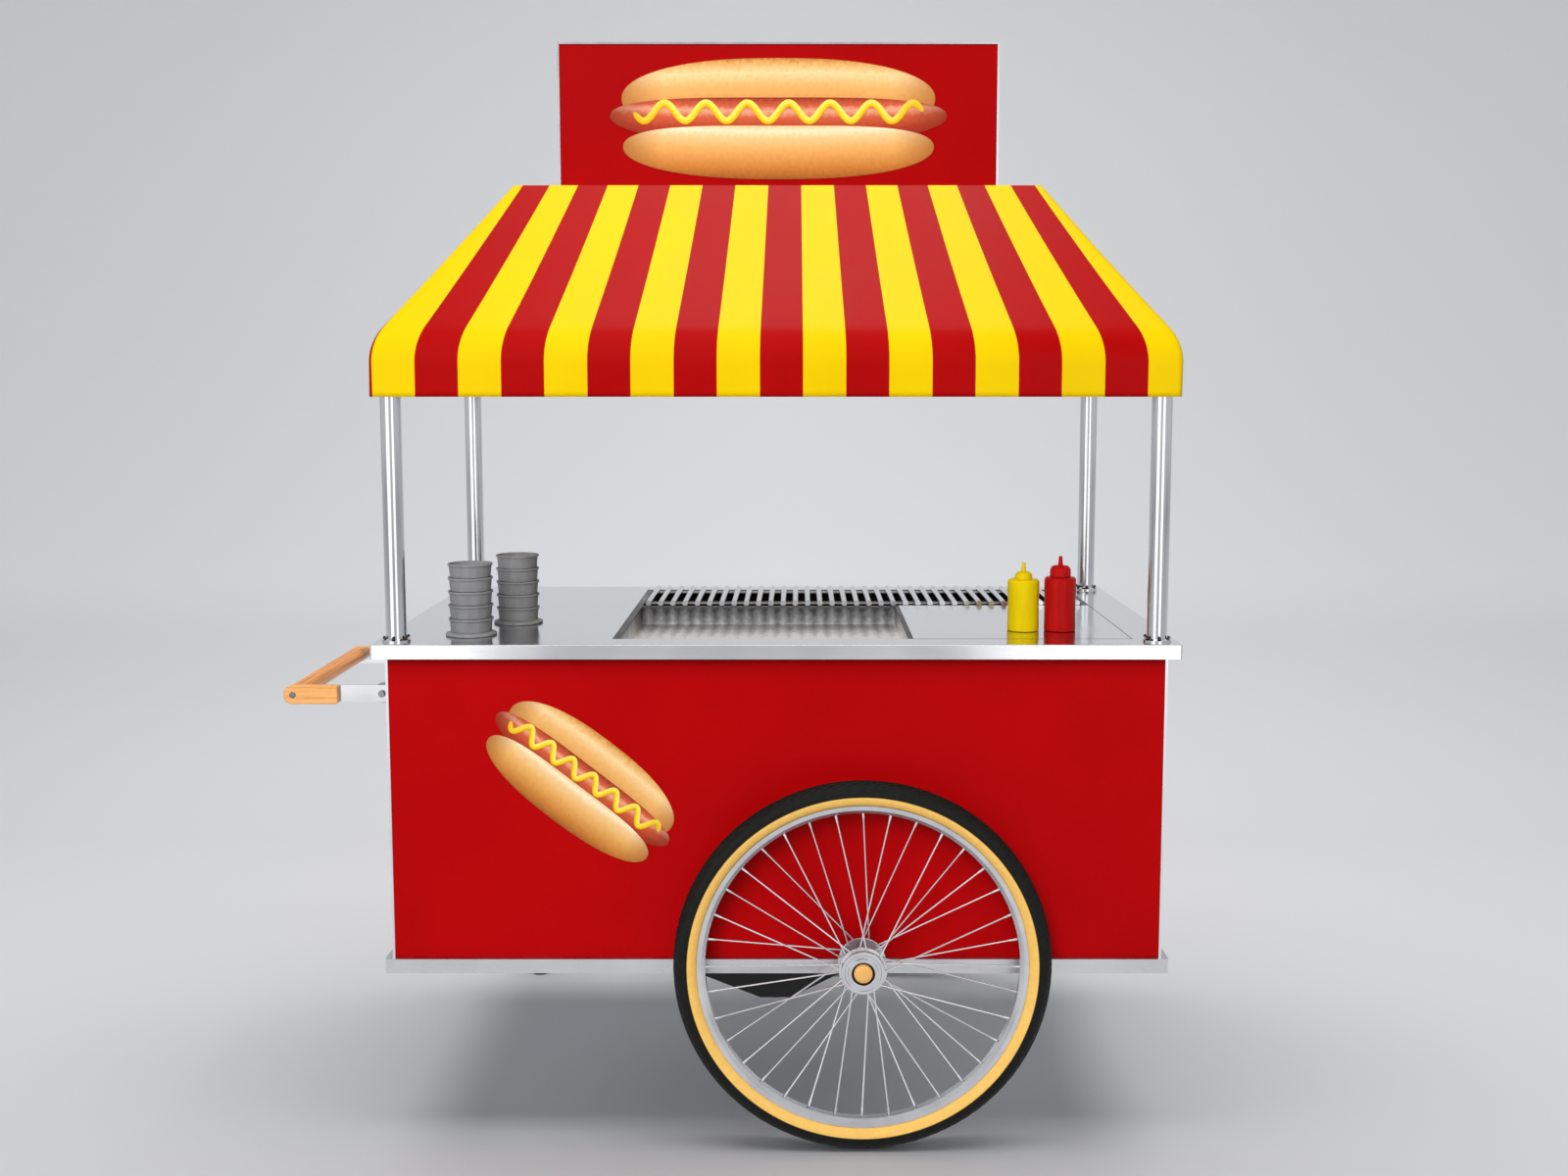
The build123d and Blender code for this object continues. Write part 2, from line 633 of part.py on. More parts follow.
# Burner: a slot-shaped ring on two feet, fed through the back of the fire box
def burner():
    x0, x1, y0, y1 = well_bays()[2]
    width = y1 - y0 - 2 * BURNER_INSET
    length = x1 - x0 - 2 * BURNER_INSET
    floor = COUNTER_TOP - FIRE_BOX_DEPTH
    z0 = floor + BURNER_RISE
    centre = Pos((x0 + x1) / 2, (y0 + y1) / 2, 0)
    ring = SlotOverall(length, width) - SlotOverall(length - 2 * BURNER_BAR, width - 2 * BURNER_BAR)
    body = centre * (Pos(0, 0, z0) * extrude(ring, BURNER_H))
    body = chamfer(body.faces().sort_by(Axis.Z)[-1].edges(), BURNER_BAR / 6)
    for sx in (-1, 1):
        foot = Box(BURNER_BAR, width, BURNER_RISE, align=(Align.CENTER, Align.CENTER, Align.MIN))
        body += centre * (Pos(sx * BURNER_FOOT_SHARE * length / 2, 0, floor) * foot)
    back = y1 + PAN_SHEET
    feed_z = COUNTER_TOP - VALVE_DEPTH
    feed_y = (y0 + y1 + width) / 2 - BURNER_BAR / 2
    feed = rod_y(FEED_D / 2, VALVE_X, feed_z, feed_y, back)
    return body + feed


def gas_valve():
    back = well_bays()[2][3] + PAN_SHEET
    front = FRAME_HALF_Y - RAIL_T
    z = COUNTER_TOP - VALVE_DEPTH
    nose = CABINET_Y + KNOB_H / 2
    mid = (back + front) / 2
    profile = [(back, 0), (back, VALVE_R), (mid, VALVE_R), (front, VALVE_R / 2), (front, STEM_D / 2),
               (nose, STEM_D / 2), (nose, 0)]
    body = Pos(VALVE_X, 0, z) * turned_y(outline_y(profile))
    inlet_y = (back + mid) / 2
    return body + rod_z(PIPE_D / 2, VALVE_X, inlet_y, z, z + VALVE_R + PIPE_D / 2)


def control_knob():
    y0 = CABINET_Y + SIDE_GAP
    y1 = y0 + KNOB_H
    skirt = y0 + KNOB_H / 4
    z = COUNTER_TOP - VALVE_DEPTH
    face = skirt + KNOB_H / 8
    dial = [(y0, 0), (y0, KNOB_R), (skirt, KNOB_R), (face, KNOB_R * 0.8), (face, 0)]
    knob = turned_y(outline_y(dial))
    grip = Pos(0, (skirt + y1) / 2, 0) * Box(KNOB_GRIP_W, y1 - skirt, 2 * KNOB_R - KNOB_GRIP_W)
    grip = fillet(grip.edges().filter_by(Axis.Y), KNOB_GRIP_W / 3)
    bore = rod_y(STEM_D / 2 + RUN_GAP, 0, 0, y0 - KNOB_H, CABINET_Y + KNOB_H / 2 + SIDE_GAP)
    return Pos(VALVE_X, 0, z) * (knob + grip - bore)


# Gas bottle, its regulator and the copper pipe to the valve
def gas_bottle():
    z0 = BOARD_TOP
    shoulder = GAS_R * 0.45
    w = GAS_WALL
    low = z0 + GAS_FOOT_H
    top = z0 + GAS_H
    points = [
        (GAS_FOOT_R - w, z0), (GAS_FOOT_R, z0), (GAS_FOOT_R, low), (GAS_R, low + shoulder / 2),
        (GAS_R, top - shoulder), (GAS_R * 0.7, top - shoulder * 0.35),
        (GAS_NECK_R, top - w), (GAS_NECK_R, top), (GAS_NECK_R - w, top),
        (GAS_NECK_R - w, top - 2 * w), (GAS_R * 0.7 - w, top - shoulder * 0.35 - w),
        (GAS_R - w, top - shoulder - w), (GAS_R - w, low + shoulder / 2 + w), (GAS_FOOT_R - w, low + w),
        (0, low + w), (0, low), (GAS_FOOT_R - w, low),
    ]
    return Pos(GAS_X, GAS_Y, 0) * turned_z(outline_z(points))


def regulator():
    z0 = BOARD_TOP + GAS_H
    h = REGULATOR_H
    points = [
        (0, z0), (GAS_NECK_R, z0), (GAS_NECK_R, z0 + h * 0.4), (REGULATOR_R, z0 + h * 0.5),
        (REGULATOR_R, z0 + h * 0.75), (PIPE_D, z0 + h * 0.85), (PIPE_D, z0 + h), (0, z0 + h),
    ]
    return Pos(GAS_X, GAS_Y, 0) * turned_z(outline_z(points))


def gas_pipe():
    z_low = BOARD_TOP + GAS_H + REGULATOR_H
    z_top = COUNTER_TOP - PIPE_DEPTH
    back = well_bays()[2][3] + PAN_SHEET
    mid = (back + FRAME_HALF_Y - RAIL_T) / 2
    y_valve = (back + mid) / 2
    z_valve = COUNTER_TOP - VALVE_DEPTH + VALVE_R + PIPE_D / 2
    route = [
        (GAS_X, GAS_Y, z_low), (GAS_X, GAS_Y, z_top), (GAS_X, y_valve, z_top),
        (VALVE_X, y_valve, z_top), (VALVE_X, y_valve, z_valve),
    ]
    bend = min(PIPE_BEND_R, z_top - z_valve - PIPE_D / 4)
    path = FilletPolyline(*route, radius=bend)
    return sweep(Plane(origin=route[0]) * Circle(PIPE_D / 2), path=path)


# Drain: from the basin to a hopper-shaped sump under the tray
def drain_tube(radius, z0, z1):
    bore = rod_z(radius - DRAIN_WALL, DRAIN_X, DRAIN_Y, z0 - OVERCUT, z1 + OVERCUT)
    return rod_z(radius, DRAIN_X, DRAIN_Y, z0, z1) - bore


def drain_pipe():
    """Flanged outlet under the basin, and the down pipe that it slips into."""
    z1 = COUNTER_TOP - BASIN_DEPTH - PAN_SHEET
    z0 = BASE_BOTTOM - 2 * BASE_SHEET
    joint = (z0 + z1) / 2
    radius = DRAIN_R - DRAIN_WALL - DRAIN_SLIP
    flange = rod_z(DRAIN_FLANGE_R, DRAIN_X, DRAIN_Y, z1 - DRAIN_WALL, z1)
    flange -= rod_z(radius - DRAIN_WALL, DRAIN_X, DRAIN_Y, z0, z1 + OVERCUT)
    outlet = drain_tube(radius, joint - DRAIN_LAP / 2, z1) + flange
    return outlet, drain_tube(DRAIN_R, z0, joint + DRAIN_LAP / 2)


def hopper(inset):
    """Outside or inside of the sump: a wide mouth over a small floor that is off centre."""
    z1 = BASE_BOTTOM
    z0 = BASE_BOTTOM - SUMP_DEPTH + inset
    mouth_x = SUMP_LENGTH / 2 - 2 * inset
    mouth_y = SUMP_WIDTH / 2 - 2 * inset
    floor_x = SUMP_FLOOR_LENGTH / 2 - 2 * inset
    floor_y = SUMP_FLOOR_WIDTH / 2 - 2 * inset
    x = DRAIN_X + SUMP_FLOOR_RIGHT
    y = DRAIN_Y - SUMP_AHEAD
    y_floor = DRAIN_Y - SUMP_FLOOR_AHEAD
    seen_from_front = Polyline((DRAIN_X - mouth_x, 0, z1), (DRAIN_X + mouth_x, 0, z1), (x + floor_x, 0, z0),
                               (x - floor_x, 0, z0), close=True)
    seen_from_end = Polyline((0, y - mouth_y, z1), (0, y + mouth_y, z1), (0, y_floor + floor_y, z0),
                             (0, y_floor - floor_y, z0), close=True)
    along_y = extrude(make_face(seen_from_front), COUNTER_DEPTH, both=True)
    along_x = extrude(make_face(seen_from_end), COUNTER_LENGTH, both=True)
    return along_y & along_x


def drain_sump():
    rim_x = SUMP_LENGTH + 2 * SUMP_FLANGE
    rim_y = SUMP_WIDTH + 2 * SUMP_FLANGE
    flange = Box(rim_x, rim_y, SUMP_WALL, align=(Align.CENTER, Align.CENTER, Align.MAX))
    return hopper(0) + Pos(DRAIN_X, DRAIN_Y - SUMP_AHEAD, BASE_BOTTOM) * flange - hopper(SUMP_WALL)


def drain_plug():
    head = extrude(RegularPolygon(PLUG_AF / 2, 6, major_radius=False), -PLUG_H)
    head = chamfer(head.faces().sort_by(Axis.Z)[0].edges(), PLUG_H / 8)
    return Pos(DRAIN_X + SUMP_FLOOR_RIGHT, DRAIN_Y - SUMP_FLOOR_AHEAD, BASE_BOTTOM - SUMP_DEPTH) * head


# Axle and what holds it
def axle():
    end = WHEEL_Y + BEARING_OUT + NUT_H + 2 * SIDE_GAP
    return rod_y(AXLE_D / 2, WHEEL_X, AXLE_Z, -end, end)


def both_ends(solid):
    """The same piece at the customer's side and, turned round the axle's middle, at the operator's side."""
    turn = Pos(WHEEL_X, 0, 0) * (Rot(0, 0, 180) * (Pos(-WHEEL_X, 0, 0) * solid))
    return [turn, solid]


def axle_block():
    y1 = FRAME_HALF_Y - RAIL_T - RAIL_T
    half = AXLE_BLOCK_W / 2
    z0 = BASE_BOTTOM + BASE_SHEET
    body = block(WHEEL_X - half, WHEEL_X + half, y1 - AXLE_BLOCK_D, y1, z0, AXLE_Z)
    body += rod_y(AXLE_BLOCK_CROWN, WHEEL_X, AXLE_Z, y1 - AXLE_BLOCK_D, y1)
    reach = half + OVERCUT
    notch = block(WHEEL_X - reach, WHEEL_X + reach, BASE_Y - BASE_RETURN - SIDE_GAP, BASE_Y,
                  BASE_TOP - BASE_SHEET - SIDE_GAP, AXLE_Z + AXLE_BLOCK_W)
    return body - notch - rod_y(AXLE_D / 2, WHEEL_X, AXLE_Z, 0, WHEEL_Y)


def axle_spacer():
    y0 = BASE_Y
    y1 = WHEEL_Y - HUB_INNER_END - SIDE_GAP
    bore = rod_y(AXLE_D / 2, WHEEL_X, AXLE_Z, y0 - OVERCUT, y1 + OVERCUT)
    return rod_y(SPACER_R, WHEEL_X, AXLE_Z, y0, y1) - bore


def axle_nut():
    y0 = WHEEL_Y + BEARING_OUT + SIDE_GAP
    hexagon = extrude(RegularPolygon(NUT_AF / 2, 6, major_radius=False), NUT_H)
    nut = Pos(WHEEL_X, y0, AXLE_Z) * (Rot(-90, 0, 0) * hexagon)
    return nut - rod_y(AXLE_D / 2, WHEEL_X, AXLE_Z, y0 - OVERCUT, y0 + NUT_H + OVERCUT)


# Wheel pieces about the origin, outboard side towards +Y
RIM_OUT_R = WHEEL_D / 2 - TYRE_HEIGHT
RIM_IN_R = RIM_OUT_R - RIM_DEPTH
RIM_BED_R = RIM_OUT_R - BEAD_DEPTH - REST_GAP
FLANGE_Y = HUB_FLANGE_SPACING / 2


def tyre():
    """Round section between its two beads, hollow inside."""
    top = WHEEL_D / 2
    bead = RIM_WIDTH / 2 - RIM_WALL - REST_GAP
    lip = bead - TYRE_WALL
    foot = RIM_OUT_R - BEAD_DEPTH
    return turned_y(
        Line((0, bead, foot), (0, bead, RIM_OUT_R)),
        ThreePointArc((0, bead, RIM_OUT_R), (0, 0, top), (0, -bead, RIM_OUT_R)),
        Line((0, -bead, RIM_OUT_R), (0, -bead, foot)),
        Line((0, -bead, foot), (0, -lip, foot)),
        Line((0, -lip, foot), (0, -lip, RIM_OUT_R)),
        ThreePointArc((0, -lip, RIM_OUT_R), (0, 0, top - TYRE_WALL), (0, lip, RIM_OUT_R)),
        Line((0, lip, RIM_OUT_R), (0, lip, foot)),
        Line((0, lip, foot), (0, bead, foot)),
    )


def rim():
    half = RIM_WIDTH / 2
    bed = half - RIM_WALL
    low = RIM_FLOOR_WIDTH / 2
    waist = RIM_OUT_R - RIM_DEPTH * 0.55
    return turned_y(outline_y([
        (-half, RIM_OUT_R), (-half, waist), (-low, RIM_IN_R), (low, RIM_IN_R), (half, waist),
        (half, RIM_OUT_R), (bed, RIM_OUT_R), (bed, RIM_BED_R), (-bed, RIM_BED_R), (-bed, RIM_OUT_R),
    ]))


def spokes():
    """One-cross lacing: neighbours on a flange lean opposite ways, one each side of the flange."""
    bars = []
    inside = FLANGE_Y - HUB_FLANGE_T / 2 - SPOKE_D / 2 - SIDE_GAP
    outside = FLANGE_Y + HUB_FLANGE_T / 2 + SPOKE_D / 2 + 3 * SIDE_GAP
    step = 360 / SPOKE_COUNT
    for index in range(SPOKE_COUNT):
        side = 1 if index % 2 == 0 else -1
        leading = (index // 2) % 2 == 0
        seat_y = side * (outside if leading else inside)
        rim_angle = radians(index * step)
        hub_angle = radians(index * step + (SPOKE_CROSS_DEG if leading else -SPOKE_CROSS_DEG))
        seat = Vector(SPOKE_SEAT_R * cos(hub_angle), seat_y, SPOKE_SEAT_R * sin(hub_angle))
        far = RIM_IN_R - 2 * SIDE_GAP
        nipple = Vector(far * cos(rim_angle), side * SPOKE_SPREAD / 2, far * sin(rim_angle))
        run = nipple - seat
        bars.append(extrude(Plane(origin=seat, z_dir=run) * RegularPolygon(SPOKE_D / 2, 6), run.length))
    return bars


def hub():
    f = HUB_FLANGE_T / 2
    inner = -HUB_INNER_END
    mid_r = AXLE_D / 2 + 4 * AXLE_HOLE_GAP
    c = HUB_FACE_CHAMFER
    return turned_y(outline_y([
        (inner, BEARING_R), (inner, HUB_BARREL_R), (-FLANGE_Y - f, HUB_BARREL_R),
        (-FLANGE_Y - f, HUB_FLANGE_R), (-FLANGE_Y + f, HUB_FLANGE_R),
        (-FLANGE_Y + f, HUB_BARREL_R), (FLANGE_Y - f, HUB_BARREL_R),
        (FLANGE_Y - f, HUB_FLANGE_R), (FLANGE_Y + f, HUB_FLANGE_R), (FLANGE_Y + f, HUB_FACE_R),
        (HUB_FACE_OUT - c, HUB_FACE_R), (HUB_FACE_OUT, HUB_FACE_R - c), (HUB_FACE_OUT, HUB_RECESS_R),
        (BEARING_OUT, HUB_RECESS_R), (BEARING_OUT, BEARING_R), (BEARING_OUT - BEARING_W, BEARING_R),
        (BEARING_OUT - BEARING_W, mid_r), (inner + BEARING_W, mid_r), (inner + BEARING_W, BEARING_R),
    ]))


def bearings():
    bore = rod_y(AXLE_D / 2 + RUN_GAP, 0, 0, -HUB_INNER_END - OVERCUT, BEARING_OUT + OVERCUT)
    faces = (BEARING_OUT, BEARING_W - HUB_INNER_END)
    return [rod_y(BEARING_R, 0, 0, y1 - BEARING_W, y1) - bore for y1 in faces]


def hub_cap():
    y0 = BEARING_OUT
    step = y0 + CAP_SKIRT
    top = HUB_FACE_OUT + CAP_OUT
    rise = CAP_OUT * 0.6
    skirt_r = HUB_RECESS_R
    inner_r = CAP_R - CAP_WALL
    return turned_y(
        Polyline((0, top - CAP_WALL, 0), (0, top - rise - CAP_WALL, inner_r), (0, y0, inner_r),
                 (0, y0, skirt_r), (0, step, skirt_r), (0, step, CAP_R), (0, top - rise, CAP_R)),
        TangentArc((0, top, 0), (0, top - rise, CAP_R), tangent=(0, 0, 1)),
        Line((0, top, 0), (0, top - CAP_WALL, 0)),
    )


def set_wheel(solids, rear):
    """Place wheel pieces on the axle, hub face outwards."""
    turn = 0 if rear else 180
    y = WHEEL_Y if rear else -WHEEL_Y
    return [Pos(WHEEL_X, y, AXLE_Z) * (Rot(0, 0, turn) * solid) for solid in solids]


# Handle: flat arms on pivot bolts, a round grip between them and wooden cheeks outside
def handle_arm(sy):
    x1 = PIVOT_X + ARM_ROOT
    r = ARM_H / 2
    y0, y1 = sorted((sy * ARM_IN, sy * ARM_OUT))
    bar = block(GRIP_X, x1, y0, y1, HANDLE_Z - r, HANDLE_Z + r)
    bar = fillet(bar.edges().filter_by(Axis.Y).group_by(Axis.X)[-1], ARM_H / 4)
    bar += rod_y(r, GRIP_X, HANDLE_Z, y0, y1)
    return bar - rod_y(PIVOT_D / 2 + RUN_GAP, PIVOT_X, HANDLE_Z, y0 - ARM_T, y1 + ARM_T)


def handle_cheek(sy):
    y0, y1 = sorted((sy * ARM_OUT, sy * (ARM_OUT + CHEEK_T)))
    r = CHEEK_H / 2
    x1 = GRIP_X + CHEEK_LENGTH - r
    body = block(GRIP_X, x1, y0, y1, HANDLE_Z - r, HANDLE_Z + r)
    body = fillet(body.edges().filter_by(Axis.Y).group_by(Axis.X)[-1], CHEEK_ROUND)
    body += rod_y(r, GRIP_X, HANDLE_Z, y0, y1)
    outer = body.faces().filter_by(Axis.Y).sort_by(Axis.Y)[-1 if sy > 0 else 0]
    return fillet(outer.edges(), CHEEK_ROUND / 2)


def handle_grip():
    return rod_y(GRIP_D / 2, GRIP_X, HANDLE_Z, -ARM_IN, ARM_IN)


def handle_bracket(sy):
    """Ear beside the arm on a plate on the side panel, with the stop under the arm's root."""
    x_panel = -CABINET_X
    x_plate = x_panel - BRACKET_T
    ear_out = ARM_IN - SIDE_GAP
    ear_in = ear_out - EAR_T
    ear = block(PIVOT_X, x_panel, ear_in, ear_out, HANDLE_Z - EAR_R, HANDLE_Z + EAR_R)
    ear += rod_y(EAR_R, PIVOT_X, HANDLE_Z, ear_in, ear_out)
    mid = Pos((x_plate + x_panel) / 2, ARM_SPACING / 2, HANDLE_Z)
    plate = mid * Box(BRACKET_T, BRACKET_W, BRACKET_H)
    stop_z = HANDLE_Z - ARM_H / 2 - SIDE_GAP
    stop = block(PIVOT_X + ARM_ROOT - ARM_H / 2, x_panel, ear_in, ARM_OUT, stop_z - STOP_T, stop_z)
    bracket = ear + plate + stop - rod_y(PIVOT_D / 2, PIVOT_X, HANDLE_Z, ear_in - EAR_T, ear_out + EAR_T)
    return bracket if sy > 0 else mirror(bracket, Plane.XZ)


def handle_pivot(sy):
    arm_out = ARM_OUT + SIDE_GAP
    ear_in = ARM_IN - SIDE_GAP - EAR_T
    r = PIVOT_D / 2
    bolt = turned_y(outline_y([
        (ear_in - PIVOT_HEAD_H, 0), (ear_in - PIVOT_HEAD_H, PIVOT_HEAD_R), (ear_in, PIVOT_HEAD_R),
        (ear_in, r), (arm_out, r), (arm_out, PIVOT_HEAD_R), (arm_out + PIVOT_HEAD_H / 2, PIVOT_HEAD_R),
        (arm_out + PIVOT_HEAD_H, PIVOT_HEAD_R * 0.7), (arm_out + PIVOT_HEAD_H, 0),
    ]))
    bolt = Pos(PIVOT_X, 0, HANDLE_Z) * bolt
    return bolt if sy > 0 else mirror(bolt, Plane.XZ)


# Posts and canopy
def canopy_post(sx, sy):
    x = sx * POST_X
    y = sy * POST_Y
    r = POST_D / 2
    bore = rod_z(r - POST_WALL, x, y, COUNTER_TOP - POST_CAP, POST_TOP - POST_CAP)
    return rod_z(r, x, y, COUNTER_TOP, POST_TOP) - bore


def post_ring(sx, sy):
    r = POST_D / 2 + SIDE_GAP
    neck = POST_D / 2 + POST_WALL
    z0 = COUNTER_TOP
    ring = turned_z(outline_z([
        (r, z0), (BASE_RING_R, z0), (BASE_RING_R, z0 + BASE_RING_H / 2),
        (neck, z0 + BASE_RING_H), (r, z0 + BASE_RING_H),
    ]))
    return Pos(sx * POST_X, sy * POST_Y, 0) * ring


def eave_angle():
    """Turn, from upright, at which the eave's arc runs tangent into the roof's slope."""
    rise = hypot(ROOF_RISE, ROOF_RUN - EAVE_R)
    return atan2(ROOF_RUN - EAVE_R, ROOF_RISE) + asin(EAVE_R / rise)


def canopy_sections(inset):
    """Rectangles from the hem to the flat top, moved in by the cover's thickness."""
    turn = eave_angle()
    shape = [(inset, HEM_Z - 2 * inset)]
    for i in range(EAVE_STEPS + 1):
        a = turn * i / EAVE_STEPS
        shape.append((EAVE_R * (1 - cos(a)) + inset * cos(a), EAVE_Z + (EAVE_R - inset) * sin(a)))
    drop = inset * (1 - sin(turn)) / cos(turn)
    shape.append((ROOF_RUN + drop, ROOF_Z - inset))
    corner = COVER_CORNER_R - inset
    sections = []
    for run, z in shape:
        sections.append(Pos(0, 0, z) * RectangleRounded(2 * (CANOPY_X - run), 2 * (CANOPY_Y - run), corner))
    return sections


def canopy_cover():
    return loft(canopy_sections(0), ruled=True) - loft(canopy_sections(COVER_T), ruled=True)


def eave_rails():
    z0 = HEM_Z + EAVE_RAIL_RISE
    front, rear, left, right = four_bars(RAIL_OUT_X, RAIL_OUT_Y, EAVE_RAIL_T, z0, z0 + EAVE_RAIL_H)
    corner = COVER_CORNER_R - COVER_T - SIDE_GAP
    front = fillet(front.edges().filter_by(Axis.Z).group_by(Axis.Y)[0], corner)
    rear = fillet(rear.edges().filter_by(Axis.Z).group_by(Axis.Y)[-1], corner)
    return [front, rear, left, right]


def top_frame():
    z0 = TOP_FRAME_Z - TOP_BAR
    bars = four_bars(TOP_FRAME_X, TOP_FRAME_Y, TOP_BAR, z0, TOP_FRAME_Z)
    inner = TOP_FRAME_Y - TOP_BAR
    half = TOP_BAR / 2
    for sx in (-1, 1):
        x = sx * SIGN_FOOT_X
        bars.append(block(x - half, x + half, -inner, inner, z0, TOP_FRAME_Z))
    return bars


def hip_rafters():
    z1 = TOP_FRAME_Z - TOP_BAR
    foot = Vector(POST_X, POST_Y, POST_TOP)
    head = Vector(TOP_FRAME_X - TOP_BAR / 2, TOP_FRAME_Y - TOP_BAR / 2, z1)
    run = head - foot
    start = foot - run.normalized() * POST_D
    tube = extrude(Plane(origin=start, z_dir=run) * Circle(RAFTER_D / 2), run.length + 2 * POST_D)
    tube &= block(0, COUNTER_LENGTH, 0, COUNTER_DEPTH, POST_TOP, z1)
    right = [tube, mirror(tube, Plane.XZ)]
    return right + [mirror(bar, Plane.YZ) for bar in right]


# Sign on two feet that are bolted through the canopy's top
SIGN_Z0 = ROOF_Z + SIGN_FOOT_T
SIGN_Z1 = SIGN_Z0 + SIGN_HEIGHT


def sign_edging():
    hx = SIGN_WIDTH / 2
    hy = SIGN_T / 2
    e = SIGN_EDGE
    bars = [
        block(-hx, hx, -hy, hy, SIGN_Z0, SIGN_Z0 + e),
        block(-hx, hx, -hy, hy, SIGN_Z1 - e, SIGN_Z1),
        block(-hx, e - hx, -hy, hy, SIGN_Z0 + e, SIGN_Z1 - e),
        block(hx - e, hx, -hy, hy, SIGN_Z0 + e, SIGN_Z1 - e),
    ]
    return bars


def sign_board():
    hx = SIGN_WIDTH / 2 - SIGN_EDGE
    hy = SIGN_BOARD_T / 2
    return block(-hx, hx, -hy, hy, SIGN_Z0 + SIGN_EDGE, SIGN_Z1 - SIGN_EDGE)


def sign_foot(sx):
    half = SIGN_FOOT_W / 2
    y0 = SIGN_T / 2
    x = sx * SIGN_FOOT_X
    base = block(x - half, x + half, -y0, y0 + SIGN_FOOT_BACK, ROOF_Z, SIGN_Z0)
    stem = block(x - half, x + half, y0, y0 + SIGN_FOOT_T, SIGN_Z0, SIGN_Z0 + SIGN_FOOT_UP)
    return base + stem


# Squeeze bottles and stacked tubs
def sauce_bottle(x, body):
    z0 = PLATE_TOP + REST_GAP
    z1 = z0 + body
    w = SAUCE_WALL
    neck = SAUCE_R * 0.45
    lip = 3 * w
    points = [
        (0, z0), (SAUCE_R - w, z0), (SAUCE_R, z0 + w), (SAUCE_R - w / 2, z1 - lip), (SAUCE_R, z1 - 2 * w),
        (SAUCE_R, z1), (neck, z1), (neck, z1 + lip), (neck - w, z1 + lip), (neck - w, z1 - w),
        (SAUCE_R - 2 * w, z1 - w), (SAUCE_R - 2 * w, z0 + w), (0, z0 + w),
    ]
    return Pos(x, SAUCE_Y, 0) * turned_z(outline_z(points))


def sauce_cap(x, body, radius, height):
    z0 = PLATE_TOP + REST_GAP + body
    z1 = z0 + height
    s = CAP_SHELL
    neck = SAUCE_R * 0.45
    dome = height * 0.3
    points = [
        (neck, z0), (radius, z0), (radius, z1 - dome), (radius * 0.72, z1), (NOZZLE_R, z1),
        (NOZZLE_TIP_R, z1 + NOZZLE_H), (NOZZLE_TIP_R - s / 2, z1 + NOZZLE_H), (NOZZLE_R - s, z1 - s),
        (neck, z1 - dome - s),
    ]
    return Pos(x, SAUCE_Y, 0) * turned_z(outline_z(points))


def tub_profile(z0):
    """One tub: foot, tapered wall and beaded rim, closed at the bottom."""
    z1 = z0 + TUB_PITCH
    w = TUB_WALL
    foot = TUB_R - TUB_TAPER
    low = z0 - TUB_NEST
    return [
        (0, low), (foot - 2 * w, low), (foot - 2 * w, z0), (foot, z0), (TUB_R - w, z1 - TUB_BEAD),
        (TUB_R, z1 - TUB_BEAD), (TUB_R, z1), (TUB_R - w, z1), (foot - w, z0 + w), (foot - 3 * w, z0 + w),
        (foot - 3 * w, low + w), (0, low + w),
    ]


def tub_stack(inset):
    """Stacked tubs on a base ring, set in from the counter's left front corner."""
    x = inset[0] - COUNTER_X
    y = inset[1] - COUNTER_Y
    z0 = COUNTER_TOP + REST_GAP
    z1 = z0 + TUB_RING_H
    hole = TUB_R - TUB_TAPER - 2 * TUB_WALL + SIDE_GAP
    ring = turned_z(outline_z([
        (hole, z0), (TUB_RING_R, z0), (TUB_RING_R, z0 + TUB_RING_H / 2), (TUB_R - TUB_TAPER, z1), (hole, z1),
    ]))
    pieces = [ring]
    for index in range(TUB_COUNT):
        pieces.append(turned_z(outline_z(tub_profile(z1 + index * TUB_PITCH))))
    return [Pos(x, y, 0) * piece for piece in pieces]


# Parking leg: leans out past its pivot, so the load holds it against the stop lug
def leg_bracket():
    z = LEG_PIVOT_Z
    r = LEG_PIN_D / 2
    half = LEG_PLATE_W / 2
    y0 = BASE_Y
    y1 = y0 + LEG_PLATE_T
    eye0 = LEG_Y - LEG_EYE_W / 2
    eye1 = LEG_Y + LEG_EYE_W / 2
    plate = block(LEG_X - half, LEG_X + half, y0, y1, z - LEG_BOSS_R, BASE_TOP - BASE_SHEET)
    boss = rod_y(LEG_BOSS_R, LEG_X, z, y0, eye0 - SIDE_GAP)
    pin = rod_y(r, LEG_X, z, y0, eye1 + SIDE_GAP + LEG_NUT_H)
    drop = LEG_D + LEG_EYE_R
    lug_x = LEG_X - LEG_LEAN * drop / LEG_PIVOT_Z - LEG_D / 2 - SIDE_GAP * 3
    lug = block(lug_x - STOP_LUG, lug_x, y0, LEG_Y, z - drop, z - drop + LEG_D)
    web = block(lug_x - STOP_LUG, lug_x, y0, y1, z - drop, z)
    return plate + boss + pin + lug + web


def leg_nut():
    y0 = LEG_Y + LEG_EYE_W / 2 + SIDE_GAP
    ring = rod_y(LEG_NUT_R, LEG_X, LEG_PIVOT_Z, y0, y0 + LEG_NUT_H)
    return ring - rod_y(LEG_PIN_D / 2, LEG_X, LEG_PIVOT_Z, y0 - OVERCUT, y0 + LEG_NUT_H + OVERCUT)


